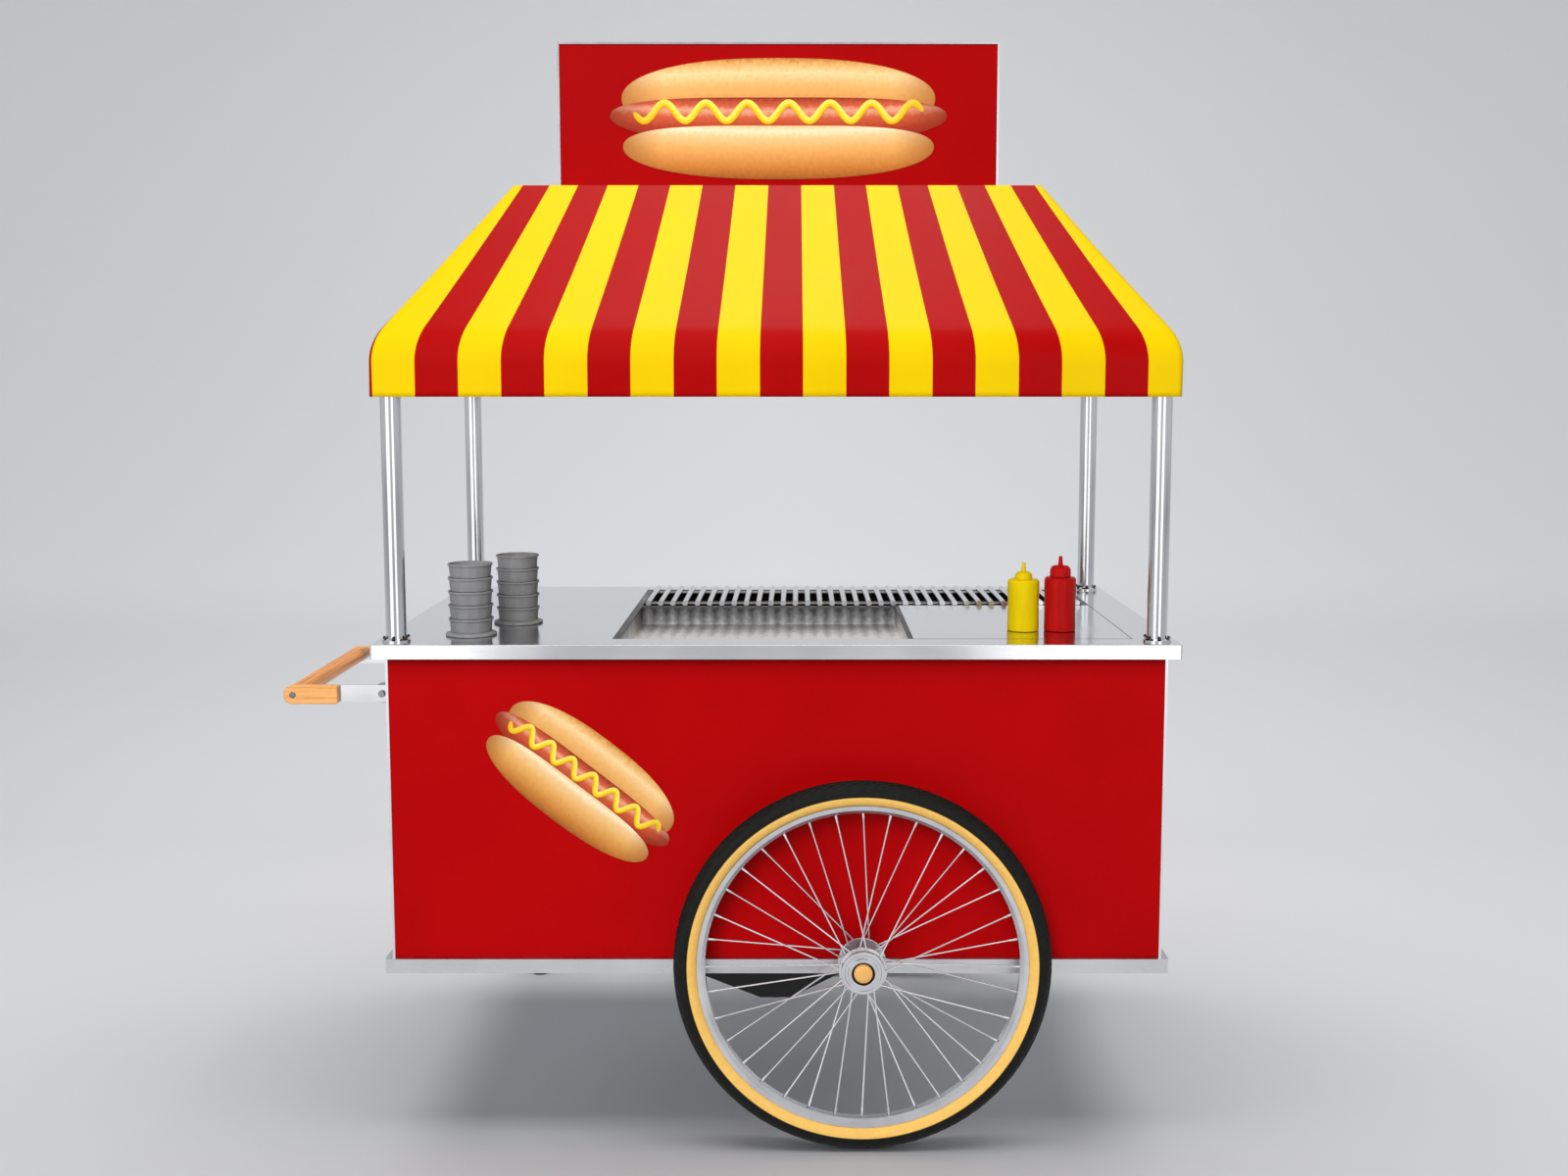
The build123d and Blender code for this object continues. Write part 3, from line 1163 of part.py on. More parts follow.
def leg_tube():
    pivot = Vector(LEG_X, LEG_Y, LEG_PIVOT_Z)
    foot = Vector(LEG_X - LEG_LEAN, LEG_Y, 0)
    run = foot - pivot
    tube = extrude(Plane(origin=pivot, z_dir=run) * Circle(LEG_D / 2), run.length)
    tube &= block(LEG_X - LEG_PIVOT_Z, LEG_X + LEG_PIVOT_Z, 0, 2 * LEG_Y, FOOT_H / 2, LEG_PIVOT_Z)
    eye = rod_y(LEG_EYE_R, LEG_X, LEG_PIVOT_Z, LEG_Y - LEG_EYE_W / 2, LEG_Y + LEG_EYE_W / 2)
    bore = rod_y(LEG_PIN_D / 2 + RUN_GAP, LEG_X, LEG_PIVOT_Z, LEG_Y - LEG_EYE_W, LEG_Y + LEG_EYE_W)
    return tube + eye - bore


def leg_foot():
    x = LEG_X - LEG_LEAN
    r = FOOT_R
    pad = turned_z(outline_z([(0, 0), (r * 0.9, 0), (r, FOOT_H * 0.2), (r * 0.8, FOOT_H), (0, FOOT_H)]))
    return Pos(x, LEG_Y, 0) * pad - leg_tube()


ENDS = (-1, 1)
save("base_tray", base_tray())
save("cabinet_frame", *bottom_rails(), *cabinet_uprights(), *top_rails())
save("floor_boards", *floor_boards())
save("side_panels", *[side_panel(sx) for sx in ENDS])
save("front_panel", panel_blank(-1))
save("rear_panel", rear_panel())
save("service_door", service_door())
save("door_pull", door_pull())
save("door_hinge_fixed", *[piece for z in hinge_heights() for piece in fixed_hinge(z)])
save("door_hinge_moving", *[moving_hinge(z) for z in hinge_heights()])

save("counter_top", counter_top())
save("well_frame", well_frame())
save("drip_basin", drip_basin())
save("bun_bin", hung_pan(well_bays()[1], BIN_DEPTH))
save("fire_box", fire_box())
save("cover_plate", cover_plate())
save("grill_grate", grill_grate())
save("burner", burner())
save("gas_valve", gas_valve())
save("control_knob", control_knob())
save("gas_bottle", gas_bottle())
save("regulator", regulator())
save("gas_pipe", gas_pipe())
save("drain_pipe", *drain_pipe())
save("drain_sump", drain_sump(), drain_plug())

save("axle", axle())
save("axle_blocks", *both_ends(axle_block()))
save("axle_hardware", *both_ends(axle_spacer()), *both_ends(axle_nut()))
WHEEL_PIECES = {"tyre": [tyre()], "rim": [rim()], "spokes": spokes(), "hub": [hub()], "bearings": bearings(),
                "hub_cap": [hub_cap()]}
for piece, solids in WHEEL_PIECES.items():
    save(f"front_{piece}", *set_wheel(solids, False))
    save(f"rear_{piece}", *set_wheel(solids, True))

save("handle_arms", *[handle_arm(sy) for sy in ENDS])
save("handle_cheeks", *[handle_cheek(sy) for sy in ENDS])
save("handle_grip", handle_grip())
save("handle_brackets", *[handle_bracket(sy) for sy in ENDS])
save("handle_pivots", *[handle_pivot(sy) for sy in ENDS])

save("canopy_posts", *[canopy_post(sx, sy) for sx in ENDS for sy in ENDS])
save("post_rings", *[post_ring(sx, sy) for sx in ENDS for sy in ENDS])
save("canopy_frame", *eave_rails(), *hip_rafters(), *top_frame())
save("canopy_cover", canopy_cover())
save("sign_board", sign_board())
save("sign_frame", *sign_edging(), *[sign_foot(sx) for sx in ENDS])

save("mustard_bottle", sauce_bottle(MUSTARD_X, MUSTARD_BODY))
save("mustard_cap", sauce_cap(MUSTARD_X, MUSTARD_BODY, MUSTARD_CAP_R, MUSTARD_CAP_H))
save("ketchup_bottle", sauce_bottle(KETCHUP_X, KETCHUP_BODY))
save("ketchup_cap", sauce_cap(KETCHUP_X, KETCHUP_BODY, KETCHUP_CAP_R, KETCHUP_CAP_H))
save("left_tubs", *tub_stack(TUBS_LEFT_INSET))
save("right_tubs", *tub_stack(TUBS_RIGHT_INSET))

save("leg_bracket", leg_bracket(), leg_nut())
save("leg_tube", leg_tube())
save("leg_foot", leg_foot())
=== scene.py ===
"""Hot dog cart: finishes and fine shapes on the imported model, with its stage, lights and camera.

Everything is in metres in the model's own frame: +X along the counter away from the handle,
-Y towards the customer, +Z up, the ground at Z = 0.
"""

from __future__ import annotations

import logging
import math
from dataclasses import dataclass, field
from enum import Enum
from typing import Any, Optional, Sequence

import bmesh
import bpy
import numpy as np
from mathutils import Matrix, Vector

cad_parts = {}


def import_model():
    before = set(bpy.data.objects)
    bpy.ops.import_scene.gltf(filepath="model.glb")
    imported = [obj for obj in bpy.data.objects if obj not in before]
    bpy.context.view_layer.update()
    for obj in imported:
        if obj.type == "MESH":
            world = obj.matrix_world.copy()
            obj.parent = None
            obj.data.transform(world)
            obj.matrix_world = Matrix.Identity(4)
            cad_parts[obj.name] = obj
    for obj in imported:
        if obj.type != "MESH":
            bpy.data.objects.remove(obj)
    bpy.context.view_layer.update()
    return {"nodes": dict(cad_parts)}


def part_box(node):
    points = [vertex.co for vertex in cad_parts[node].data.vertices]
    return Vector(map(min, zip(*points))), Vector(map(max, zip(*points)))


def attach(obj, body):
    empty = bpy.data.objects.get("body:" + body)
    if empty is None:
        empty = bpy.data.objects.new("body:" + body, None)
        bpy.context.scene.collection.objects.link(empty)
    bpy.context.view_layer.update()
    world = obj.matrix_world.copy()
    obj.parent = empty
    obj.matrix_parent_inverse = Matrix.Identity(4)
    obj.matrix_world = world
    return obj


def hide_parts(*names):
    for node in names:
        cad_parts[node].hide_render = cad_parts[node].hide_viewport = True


Node = bpy.types.Node
Object = bpy.types.Object
Socket = bpy.types.NodeSocket
Tree = bpy.types.NodeTree
Stops = Sequence[tuple[float, str]]
Pair = tuple[float, float]
Triple = tuple[float, float, float]

LOG = logging.getLogger("hot_dog_cart")
MM = 0.001
POST_RADIUS = 0.019
PRINT_GAP = 0.0002  # between a board and the film printed on it


class Along(Enum):
    """The way a grain or a brushing runs, as the pattern's stretch along X, Y and Z."""

    X = (1.0, 0.0, 0.0)
    Y = (0.0, 1.0, 0.0)
    Z = (0.0, 0.0, 1.0)


def linear(hex_colour: str) -> tuple[float, float, float, float]:
    """Turn an sRGB hex colour into linear light.

    Args:
        hex_colour: six hex digits.

    Returns:
        Linear red, green, blue and an alpha of 1.
    """
    srgb = np.array([int(hex_colour[i : i + 2], 16) for i in (0, 2, 4)]) / 255.0
    rgb = np.where(srgb <= 0.04045, srgb / 12.92, ((srgb + 0.055) / 1.055) ** 2.4)
    return (*(float(c) for c in rgb), 1.0)


def feed(node: Node, inputs: dict[Any, Any]) -> None:
    """Link each named or numbered input to an output socket, or set it to a value.

    Args:
        node: whose inputs they are.
        inputs: socket name or index to a value, or to an output socket to link.
    """
    for key, value in inputs.items():
        if isinstance(value, Socket):
            node.id_data.links.new(value, node.inputs[key])
        else:
            node.inputs[key].default_value = value


def add_node(
    tree: Tree, kind: str, settings: Optional[dict[str, Any]] = None, inputs: Optional[dict[Any, Any]] = None
) -> Node:
    """Add one node with its settings and links.

    Args:
        tree: the material's or world's tree.
        kind: Blender's node type.
        settings: attributes of the node.
        inputs: socket name or index to a value, or to an output socket to link.

    Returns:
        The new node.
    """
    item = tree.nodes.new(kind)
    for key, value in (settings or {}).items():
        setattr(item, key, value)
    feed(item, inputs or {})
    return item


def sum_up(tree: Tree, operation: str, *values: Any) -> Socket:
    """Result of one operation on numbers and output sockets."""
    return add_node(tree, "ShaderNodeMath", {"operation": operation}, dict(enumerate(values))).outputs[0]


def vector_sum(tree: Tree, operation: str, *values: Any) -> Socket:
    """Result of one operation on vectors, which is a number for their length."""
    made = add_node(tree, "ShaderNodeVectorMath", {"operation": operation}, dict(enumerate(values)))
    return made.outputs["Value" if operation == "LENGTH" else "Vector"]


def mix_colours(tree: Tree, share: Socket, first: Any, second: Any) -> Socket:
    """The first colour where share is 0, the second where it is 1."""
    inputs = {"Factor": share, "A": first, "B": second}
    return add_node(tree, "ShaderNodeMix", {"data_type": "RGBA"}, inputs).outputs["Result"]


def stretch(period_mm: float, length_mm: float, along: Along) -> Triple:
    """Noise scale per metre for a pattern period_mm wide and length_mm long in one direction."""
    wide, long = 1.0 / (period_mm * MM), 1.0 / (length_mm * MM)
    return tuple(float(long if way else wide) for way in along.value)


def even(period_mm: float) -> Triple:
    """Noise scale per metre for a pattern of one period in every direction."""
    return (1.0 / (period_mm * MM),) * 3


@dataclass(frozen=True)
class Finish:
    """A finish that builds its node material once."""

    name: str

    def material(self) -> bpy.types.Material:
        """Return the material, building it on first use.

        Returns:
            The material of this name.
        """
        found = bpy.data.materials.get(self.name)
        if found is not None:
            return found
        made = bpy.data.materials.new(self.name)
        made.use_nodes = True
        tree = made.node_tree
        tree.nodes.clear()
        shader = add_node(tree, "ShaderNodeBsdfPrincipled")
        add_node(tree, "ShaderNodeOutputMaterial", inputs={"Surface": shader.outputs[0]})
        self.dress(tree, shader)
        return made

    def dress(self, tree: Tree, shader: Node) -> None:
        """Add the finish's own nodes.

        Args:
            tree: the material's tree.
            shader: its principled shader.
        """
        raise NotImplementedError

    @staticmethod
    def place(tree: Tree, scale: Triple = (1.0, 1.0, 1.0)) -> Socket:
        """Object coordinates in metres, stretched."""
        where = add_node(tree, "ShaderNodeTexCoord").outputs["Object"]
        return add_node(tree, "ShaderNodeMapping", inputs={"Vector": where, "Scale": scale}).outputs[0]

    @staticmethod
    def uv_pair(tree: Tree) -> tuple[Socket, Socket]:
        """The two numbers of the piece's own UV map."""
        uv = add_node(tree, "ShaderNodeTexCoord").outputs["UV"]
        return tuple(add_node(tree, "ShaderNodeSeparateXYZ", inputs={0: uv}).outputs[:2])

    @staticmethod
    def noise(tree: Tree, scale: Triple, detail: float = 3.0) -> Socket:
        """Grey noise over object coordinates, with one period per unit of the scaled coordinates."""
        inputs = {"Vector": Finish.place(tree, scale), "Scale": 1.0, "Detail": detail}
        return add_node(tree, "ShaderNodeTexNoise", inputs=inputs).outputs[0]

    @staticmethod
    def tones(tree: Tree, value: Socket, stops: Stops) -> Socket:
        """Colour ramp of (place, hex colour) stops over a grey value.

        Args:
            tree: the material's tree.
            value: the grey value.
            stops: places from 0 to 1 with their hex colours.

        Returns:
            The ramp's colour.
        """
        ramp = add_node(tree, "ShaderNodeValToRGB", inputs={0: value})
        bar = ramp.color_ramp.elements
        while len(bar) < len(stops):
            bar.new(1.0)
        for element, (where, colour) in zip(bar, stops):
            element.position = where
            element.color = linear(colour)
        return ramp.outputs[0]

    @staticmethod
    def spread(tree: Tree, value: Socket, low: float, high: float, span: Pair = (0.3, 0.7)) -> Socket:
        """Map a grey value's usual span onto low to high."""
        inputs = {"Value": value, "From Min": span[0], "From Max": span[1], "To Min": low, "To Max": high}
        return add_node(tree, "ShaderNodeMapRange", inputs=inputs).outputs[0]

    @staticmethod
    def bump(tree: Tree, shader: Node, height: Socket, depth_mm: float, strength: float = 1.0) -> None:
        """Raise the surface by a grey height of depth_mm."""
        inputs = {"Height": height, "Distance": depth_mm * MM, "Strength": strength}
        feed(shader, {"Normal": add_node(tree, "ShaderNodeBump", inputs=inputs).outputs[0]})


@dataclass(frozen=True)
class BrushedMetal(Finish):
    """Rolled and polished sheet: fine parallel strokes and faint wiping marks in the gloss."""

    along: Along
    roughness: float
    colour: str = "E0E1E3"
    shade: str = "D6D8DA"
    metallic: float = 1.0
    stroke_mm: float = 1.6  # real brushing is about 0.2 mm, drawn coarser so that it shows
    stroke_length_mm: float = 90.0
    stroke_share: float = 0.45
    wipe_mm: float = 140.0

    def dress(self, tree: Tree, shader: Node) -> None:
        """Strokes in bump and roughness, wiping marks in roughness and tone.

        Args:
            tree: the material's tree.
            shader: its principled shader.
        """
        strokes = self.noise(tree, stretch(self.stroke_mm, self.stroke_length_mm, self.along), 2.0)
        wipes = self.noise(tree, even(self.wipe_mm), 4.0)
        both = sum_up(tree, "MULTIPLY_ADD", strokes, self.stroke_share, wipes)
        rough = self.spread(tree, both, self.roughness * 0.75, self.roughness * 1.35, (0.5, 0.95))
        feed(shader, {"Base Color": self.tint(tree, wipes), "Roughness": rough, "Metallic": self.metallic})
        self.bump(tree, shader, strokes, 0.02, 0.35)

    def tint(self, tree: Tree, wipes: Socket) -> Socket:
        """Colour by the wiping marks."""
        return self.tones(tree, wipes, [(0.3, self.shade), (0.7, self.colour)])


@dataclass(frozen=True)
class ShadedBasinSteel(BrushedMetal):
    """Polished basin sheet with painted shade that deepens towards the grate, in tongues that paint the
    reflections of the rods.
    """

    metallic: float = 0.3
    # painted shade under the grate, from the open floor to the darkest corner
    painted_shade_tones: Stops = ((0.1, "FAFBFC"), (0.42, "C4C5C6"), (0.66, "8A8B8D"), (0.95, "3E3F42"))
    pitch: float = 26.39 * MM
    first_rod: float = -0.1728
    front: float = -0.10
    rear: float = 0.089
    floor: float = 0.906
    rim: float = 0.946
    back_share: float = 0.5
    # how strongly the painted reflections of the rods show
    up_share: float = 0.45
    rod_reflection_share: float = 0.5
    patch_share: float = 0.4
    clear: float = 0.3

    def tint(self, tree: Tree, wipes: Socket) -> Socket:
        """Painted shade deepens back along the floor and up the rear wall, in tongues that paint the
        reflections of the rods.

        Args:
            tree: the material's tree.
            wipes: the wiping marks; not used, as the painted shade takes their place.

        Returns:
            The colour.
        """
        where = add_node(tree, "ShaderNodeTexCoord").outputs["Object"]
        x, y, z = add_node(tree, "ShaderNodeSeparateXYZ", inputs={0: where}).outputs
        rods = sum_up(tree, "MULTIPLY_ADD", x, 1.0 / self.pitch, -self.first_rod / self.pitch)
        # painted reflections of the grate's rods: a tone that rises and falls once per rod
        rod_reflection = sum_up(tree, "PINGPONG", rods, 0.5)
        back = self.spread(tree, y, 0.0, self.back_share, (self.front, self.rear))
        up = self.spread(tree, z, 0.0, self.up_share, (self.floor, self.rim))
        patchy = self.noise(tree, stretch(9.0, 30.0, Along.Y), 5.0)
        comb = sum_up(tree, "MULTIPLY_ADD", rod_reflection, self.rod_reflection_share, sum_up(tree, "ADD", back, up))
        mixed = sum_up(tree, "MULTIPLY_ADD", patchy, self.patch_share, comb)
        return self.tones(tree, sum_up(tree, "SUBTRACT", mixed, self.clear), self.painted_shade_tones)


@dataclass(frozen=True)
class CastMetal(Finish):
    """Cast, plated or drawn metal, or dull rubber: an even satin skin with a fine grain."""

    colour: str
    shade: str
    roughness: float
    metallic: float = 1.0
    grain_mm: float = 2.5
    relief_mm: float = 0.03
    cloud_grains: float = 25.0

    def dress(self, tree: Tree, shader: Node) -> None:
        """Grain in bump, larger clouds in tone and roughness.

        Args:
            tree: the material's tree.
            shader: its principled shader.
        """
        grain = self.noise(tree, even(self.grain_mm), 3.0)
        clouds = self.noise(tree, even(self.cloud_grains * self.grain_mm), 4.0)
        feed(shader, {
            "Base Color": self.tones(tree, clouds, [(0.35, self.shade), (0.65, self.colour)]),
            "Roughness": self.spread(tree, clouds, self.roughness * 0.8, self.roughness * 1.2),
            "Metallic": self.metallic,
        })
        self.bump(tree, shader, grain, self.relief_mm, 0.5)


@dataclass(frozen=True)
class Enamel(Finish):
    """Sprayed paint on sheet steel: deep even colour, a low sheen and slight orange peel."""

    colour: str
    shade: str
    roughness: float = 0.34
    shine: float = 0.03
    cloud_mm: float = 240.0
    peel_mm: float = 5.0

    def dress(self, tree: Tree, shader: Node) -> None:
        """Clouds of tone a hand wide, orange peel in the bump.

        Args:
            tree: the material's tree.
            shader: its principled shader.
        """
        clouds = self.noise(tree, even(self.cloud_mm), 3.0)
        peel = self.noise(tree, even(self.peel_mm), 1.0)
        feed(shader, {
            "Base Color": self.tones(tree, clouds, [(0.35, self.shade), (0.65, self.colour)]),
            "Roughness": self.spread(tree, clouds, self.roughness, self.roughness * 1.25),
            "Specular IOR Level": self.shine,
        })
        self.bump(tree, shader, peel, 0.05, 0.25)


@dataclass(frozen=True)
class MouldedPlastic(Finish):
    """Blow- or injection-moulded plastic: waxy gloss with soft flow marks."""

    colour: str
    shade: str
    roughness: float = 0.34
    shine: float = 0.1
    glow: float = 0.08
    scatter: Triple = (0.004, 0.002, 0.001)  # of red, green and blue light below the skin
    flow_mm: Pair = (14.0, 60.0)
    skin_mm: float = 1.8

    def dress(self, tree: Tree, shader: Node) -> None:
        """Flow marks up the piece in tone and gloss, a fine skin in the bump.

        Args:
            tree: the material's tree.
            shader: its principled shader.
        """
        flow = self.noise(tree, stretch(*self.flow_mm, Along.Z), 3.0)
        skin = self.noise(tree, even(self.skin_mm), 2.0)
        feed(shader, {
            "Base Color": self.tones(tree, flow, [(0.3, self.shade), (0.7, self.colour)]),
            "Roughness": self.spread(tree, flow, self.roughness * 0.85, self.roughness * 1.2),
            "Specular IOR Level": self.shine,
            "Subsurface Weight": self.glow,
            "Subsurface Radius": self.scatter,
        })
        self.bump(tree, shader, skin, 0.03, 0.25)


@dataclass(frozen=True)
class VarnishedWood(Finish):
    """Varnished or oiled wood: long pale grain with short darker flecks under a satin coat."""

    light: str
    middle: str
    dark: str
    along: Along = Along.X
    coat: float = 0.06
    coat_roughness: float = 0.2
    shine: float = 0.2
    grain_mm: Pair = (5.0, 220.0)
    fleck_mm: Pair = (1.4, 9.0)
    fleck_share: float = 0.3

    def dress(self, tree: Tree, shader: Node) -> None:
        """Grain and flecks in tone, gloss and bump.

        Args:
            tree: the material's tree.
            shader: its principled shader.
        """
        grain = self.noise(tree, stretch(*self.grain_mm, self.along), 5.0)
        fleck = self.noise(tree, stretch(*self.fleck_mm, self.along), 2.0)
        mixed = sum_up(tree, "MULTIPLY_ADD", fleck, self.fleck_share, grain)
        stops = [(0.42, self.dark), (0.6, self.middle), (0.85, self.light)]
        feed(shader, {
            "Base Color": self.tones(tree, mixed, stops),
            "Roughness": self.spread(tree, mixed, 0.45, 0.33, (0.4, 0.9)),
            "Specular IOR Level": self.shine,
            "Coat Weight": self.coat,
            "Coat Roughness": self.coat_roughness,
        })
        self.bump(tree, shader, mixed, 0.12, 0.3)


@dataclass(frozen=True)
class TyreRubber(Finish):
    """Gum-wall tyre: tan side walls below a moulded black tread, told apart by the distance from the axle."""

    axle: Triple = (0.269, 0.0, 0.35)
    tread_from: float = 0.3236
    edge_half: float = 0.0008
    tread: str = "1C1D1B"
    tread_shade: str = "141513"
    wall: str = "FFCF70"
    wall_shade: str = "F9C668"
    shine: float = 0.1
    mottle_mm: float = 9.0
    skin_mm: float = 1.5

    def dress(self, tree: Tree, shader: Node) -> None:
        """Radius from the axle picks tread or wall; fine mottling on both.

        Args:
            tree: the material's tree.
            shader: its principled shader.
        """
        where = add_node(tree, "ShaderNodeTexCoord").outputs["Object"]
        arm = vector_sum(tree, "SUBTRACT", where, self.axle)
        radius = vector_sum(tree, "LENGTH", vector_sum(tree, "MULTIPLY", arm, (1.0, 0.0, 1.0)))
        inside, outside = self.tread_from - self.edge_half, self.tread_from + self.edge_half
        edge = self.spread(tree, radius, 0.0, 1.0, (inside, outside))
        mottle = self.noise(tree, even(self.mottle_mm), 4.0)
        walls = self.tones(tree, mottle, [(0.3, self.wall_shade), (0.7, self.wall)])
        treads = self.tones(tree, mottle, [(0.3, self.tread_shade), (0.7, self.tread)])
        feed(shader, {
            "Base Color": mix_colours(tree, edge, walls, treads),
            "Roughness": self.spread(tree, edge, 0.8, 0.45, (0.0, 1.0)),
            "Specular IOR Level": self.shine,
        })
        self.bump(tree, shader, self.noise(tree, even(self.skin_mm), 2.0), 0.08, 0.4)


@dataclass(frozen=True)
class CoatedCloth(Finish):
    """Coated awning cloth in two colours.

    UV's first number counts stripes, its second is metres from the hem.
    """

    red: str = "AB0304"
    red_shade: str = "A40203"
    yellow: str = "EFC900"
    yellow_shade: str = "E8C200"
    shine: float = 0.06
    edge_half: float = 0.006  # of a stripe, over which one colour becomes the other
    cloud_mm: float = 180.0
    thread_mm: float = 3.0  # real weave is about 0.6 mm, drawn coarser so that it shows
    hem: float = 0.022
    stitch_half: float = 0.0012
    stitch_depth: float = 3.0  # in depths of the weave

    def dress(self, tree: Tree, shader: Node) -> None:
        """Alternate stripes, a double-thread weave in the bump and a stitched hem line.

        Args:
            tree: the material's tree.
            shader: its principled shader.
        """
        stripe, rise = self.uv_pair(tree)
        wave = sum_up(tree, "PINGPONG", stripe, 1.0)
        side = self.spread(tree, wave, 0.0, 1.0, (0.5 - self.edge_half, 0.5 + self.edge_half))
        clouds = self.noise(tree, even(self.cloud_mm), 4.0)
        reds = self.tones(tree, clouds, [(0.3, self.red_shade), (0.7, self.red)])
        yellows = self.tones(tree, clouds, [(0.3, self.yellow_shade), (0.7, self.yellow)])
        feed(shader, {
            "Base Color": mix_colours(tree, side, reds, yellows),
            "Roughness": self.spread(tree, clouds, 0.32, 0.4),
            "Specular IOR Level": self.shine,
        })
        threads = {"Color1": (0.4, 0.4, 0.4, 1.0), "Color2": (0.6, 0.6, 0.6, 1.0)}
        inputs = {"Vector": self.place(tree), "Scale": 1.0 / (self.thread_mm * MM), **threads}
        weave = add_node(tree, "ShaderNodeTexChecker", inputs=inputs).outputs[1]
        stitch = sum_up(tree, "COMPARE", rise, self.hem, self.stitch_half)
        self.bump(tree, shader, sum_up(tree, "MULTIPLY_ADD", stitch, -self.stitch_depth, weave), 0.06, 0.35)


@dataclass(frozen=True)
class PrintInk(Finish):
    """Screen-printed ink on vinyl film: bands of tone across a shape, stippled, darker at its two ends."""

    bands: Stops
    edge: str
    shine: float = 0.14
    stipple_mm: float = 9.0
    stir: float = 0.16  # how far the stipple moves the bands, in widths of the shape
    end_share: float = 0.13
    end_dim: float = 0.75

    def dress(self, tree: Tree, shader: Node) -> None:
        """UV's second number runs across the shape from 0 to 1 and picks the band, its first along it.

        Args:
            tree: the material's tree.
            shader: its principled shader.
        """
        along, across = self.uv_pair(tree)
        stipple = self.noise(tree, even(self.stipple_mm), 5.0)
        moved = sum_up(tree, "MULTIPLY_ADD", stipple, self.stir, across)
        bands = self.tones(tree, sum_up(tree, "SUBTRACT", moved, self.stir / 2), self.bands)
        from_end = sum_up(tree, "PINGPONG", along, 0.5)
        dim = self.spread(tree, from_end, self.end_dim, 0.0, (0.0, self.end_share))
        feed(shader, {
            "Base Color": mix_colours(tree, dim, bands, linear(self.edge)),
            "Roughness": self.spread(tree, stipple, 0.36, 0.46),
            "Specular IOR Level": self.shine,
        })
        self.bump(tree, shader, stipple, 0.02, 0.2)


@dataclass(frozen=True)
class StudioPaper(Finish):
    """Matt paper sweep: it takes the shadow, glows far off for the camera, and metal sees it paler."""

    colour: str = "EBECEF"
    glow_colour: str = "F6F7F9"
    wall_glow: float = 0.29
    wall_span: Pair = (1.6, 7.0)  # depths between which the wall's glow grows
    halo: float = 0.05  # more glow straight behind the cart
    halo_half: float = 4.2
    far_span: Pair = (3.6, 9.0)  # distances between which the far floor's glow grows
    room_glow: float = 0.37
    front_glow: float = 0.25
    room_span: Pair = (-2.0, 0.5)  # depths between which the front's glow becomes the room's

    def dress(self, tree: Tree, shader: Node) -> None:
        """Plain colour, a glow far off and on the wall for the camera, and one for reflections.

        Args:
            tree: the material's tree.
            shader: its principled shader.
        """
        rays = add_node(tree, "ShaderNodeLightPath").outputs
        where = self.place(tree)
        across, depth = add_node(tree, "ShaderNodeSeparateXYZ", inputs={0: where}).outputs[:2]
        aside = sum_up(tree, "ABSOLUTE", across)
        full = self.spread(tree, aside, self.wall_glow + self.halo, self.wall_glow, (0.0, self.halo_half))
        lit = sum_up(tree, "MULTIPLY", full, self.spread(tree, depth, 0.0, 1.0, self.wall_span))
        far = self.spread(tree, vector_sum(tree, "LENGTH", where), 0.0, self.wall_glow, self.far_span)
        most = sum_up(tree, "MAXIMUM", lit, far)
        seen = sum_up(tree, "MULTIPLY", rays["Is Camera Ray"], most)
        room = self.spread(tree, depth, self.front_glow, self.room_glow, self.room_span)
        feed(shader, {
            "Base Color": linear(self.colour),
            "Roughness": 0.95,
            "Specular IOR Level": 0.0,
            "Emission Color": linear(self.glow_colour),
            "Emission Strength": sum_up(tree, "MULTIPLY_ADD", rays["Is Glossy Ray"], room, seen),
        })


COUNTER_STEEL = BrushedMetal("polished stainless, along the counter", Along.X, 0.15)
POST_STEEL = BrushedMetal("polished stainless tube", Along.Z, 0.13, "D0D2D5", "C6C8CC")
# darker than the other stainless: painted reflection of the shaded floor on the tray's lip
SHADED_TRAY_STEEL = BrushedMetal("brushed stainless tray sheet with painted shade", Along.X, 0.3, "CACCCE", "C0C2C5")
SIDE_STEEL = BrushedMetal("brushed stainless side sheet", Along.Z, 0.26)
GRATE_STEEL = BrushedMetal("drawn stainless rod", Along.Y, 0.2, "D6D8DA", "CBCDD0")
# dark grey stands in for the shade on the well's ledges: painted shade
SHADED_LEDGE_STEEL = BrushedMetal("ledge steel with painted shade", Along.X, 0.42, "747577", "636466")
# its colour is painted shade under the grate and painted reflections of the rods
BASIN_STEEL = ShadedBasinSteel("satin basin sheet", Along.X, 0.42)
ZINC_STEEL = CastMetal("zinc-plated steel", "9A9CA0", "85878B", 0.38)
SCREW_STEEL = CastMetal("blackened screw steel", "4E4F52", "404144", 0.4)
IRON = CastMetal("cast iron", "2B2B2C", "1F1F20", 0.6, grain_mm=1.6, relief_mm=0.15)
BRASS = CastMetal("machined brass", "C9A14E", "B58C3C", 0.3)
COPPER = CastMetal("copper tube", "C97F5A", "B56A45", 0.28)
ALUMINIUM = CastMetal("polished aluminium", "CFD1D3", "C4C6C9", 0.22, grain_mm=1.6, relief_mm=0.01)
SPOKE_STEEL = CastMetal("bright drawn spoke wire", "DADCDE", "CFD1D4", 0.2)
FOOT_RUBBER = CastMetal("black foot rubber", "1B1B1B", "141414", 0.75, metallic=0.0)
BLACK_ENAMEL = Enamel("black stove enamel", "1A1A1A", "111111", roughness=0.45, shine=0.3)
RED_ENAMEL = Enamel("red coach enamel", "B8060A", "B00508")
SIGN_ENAMEL = Enamel("red sign enamel", "AA0609", "A40508")
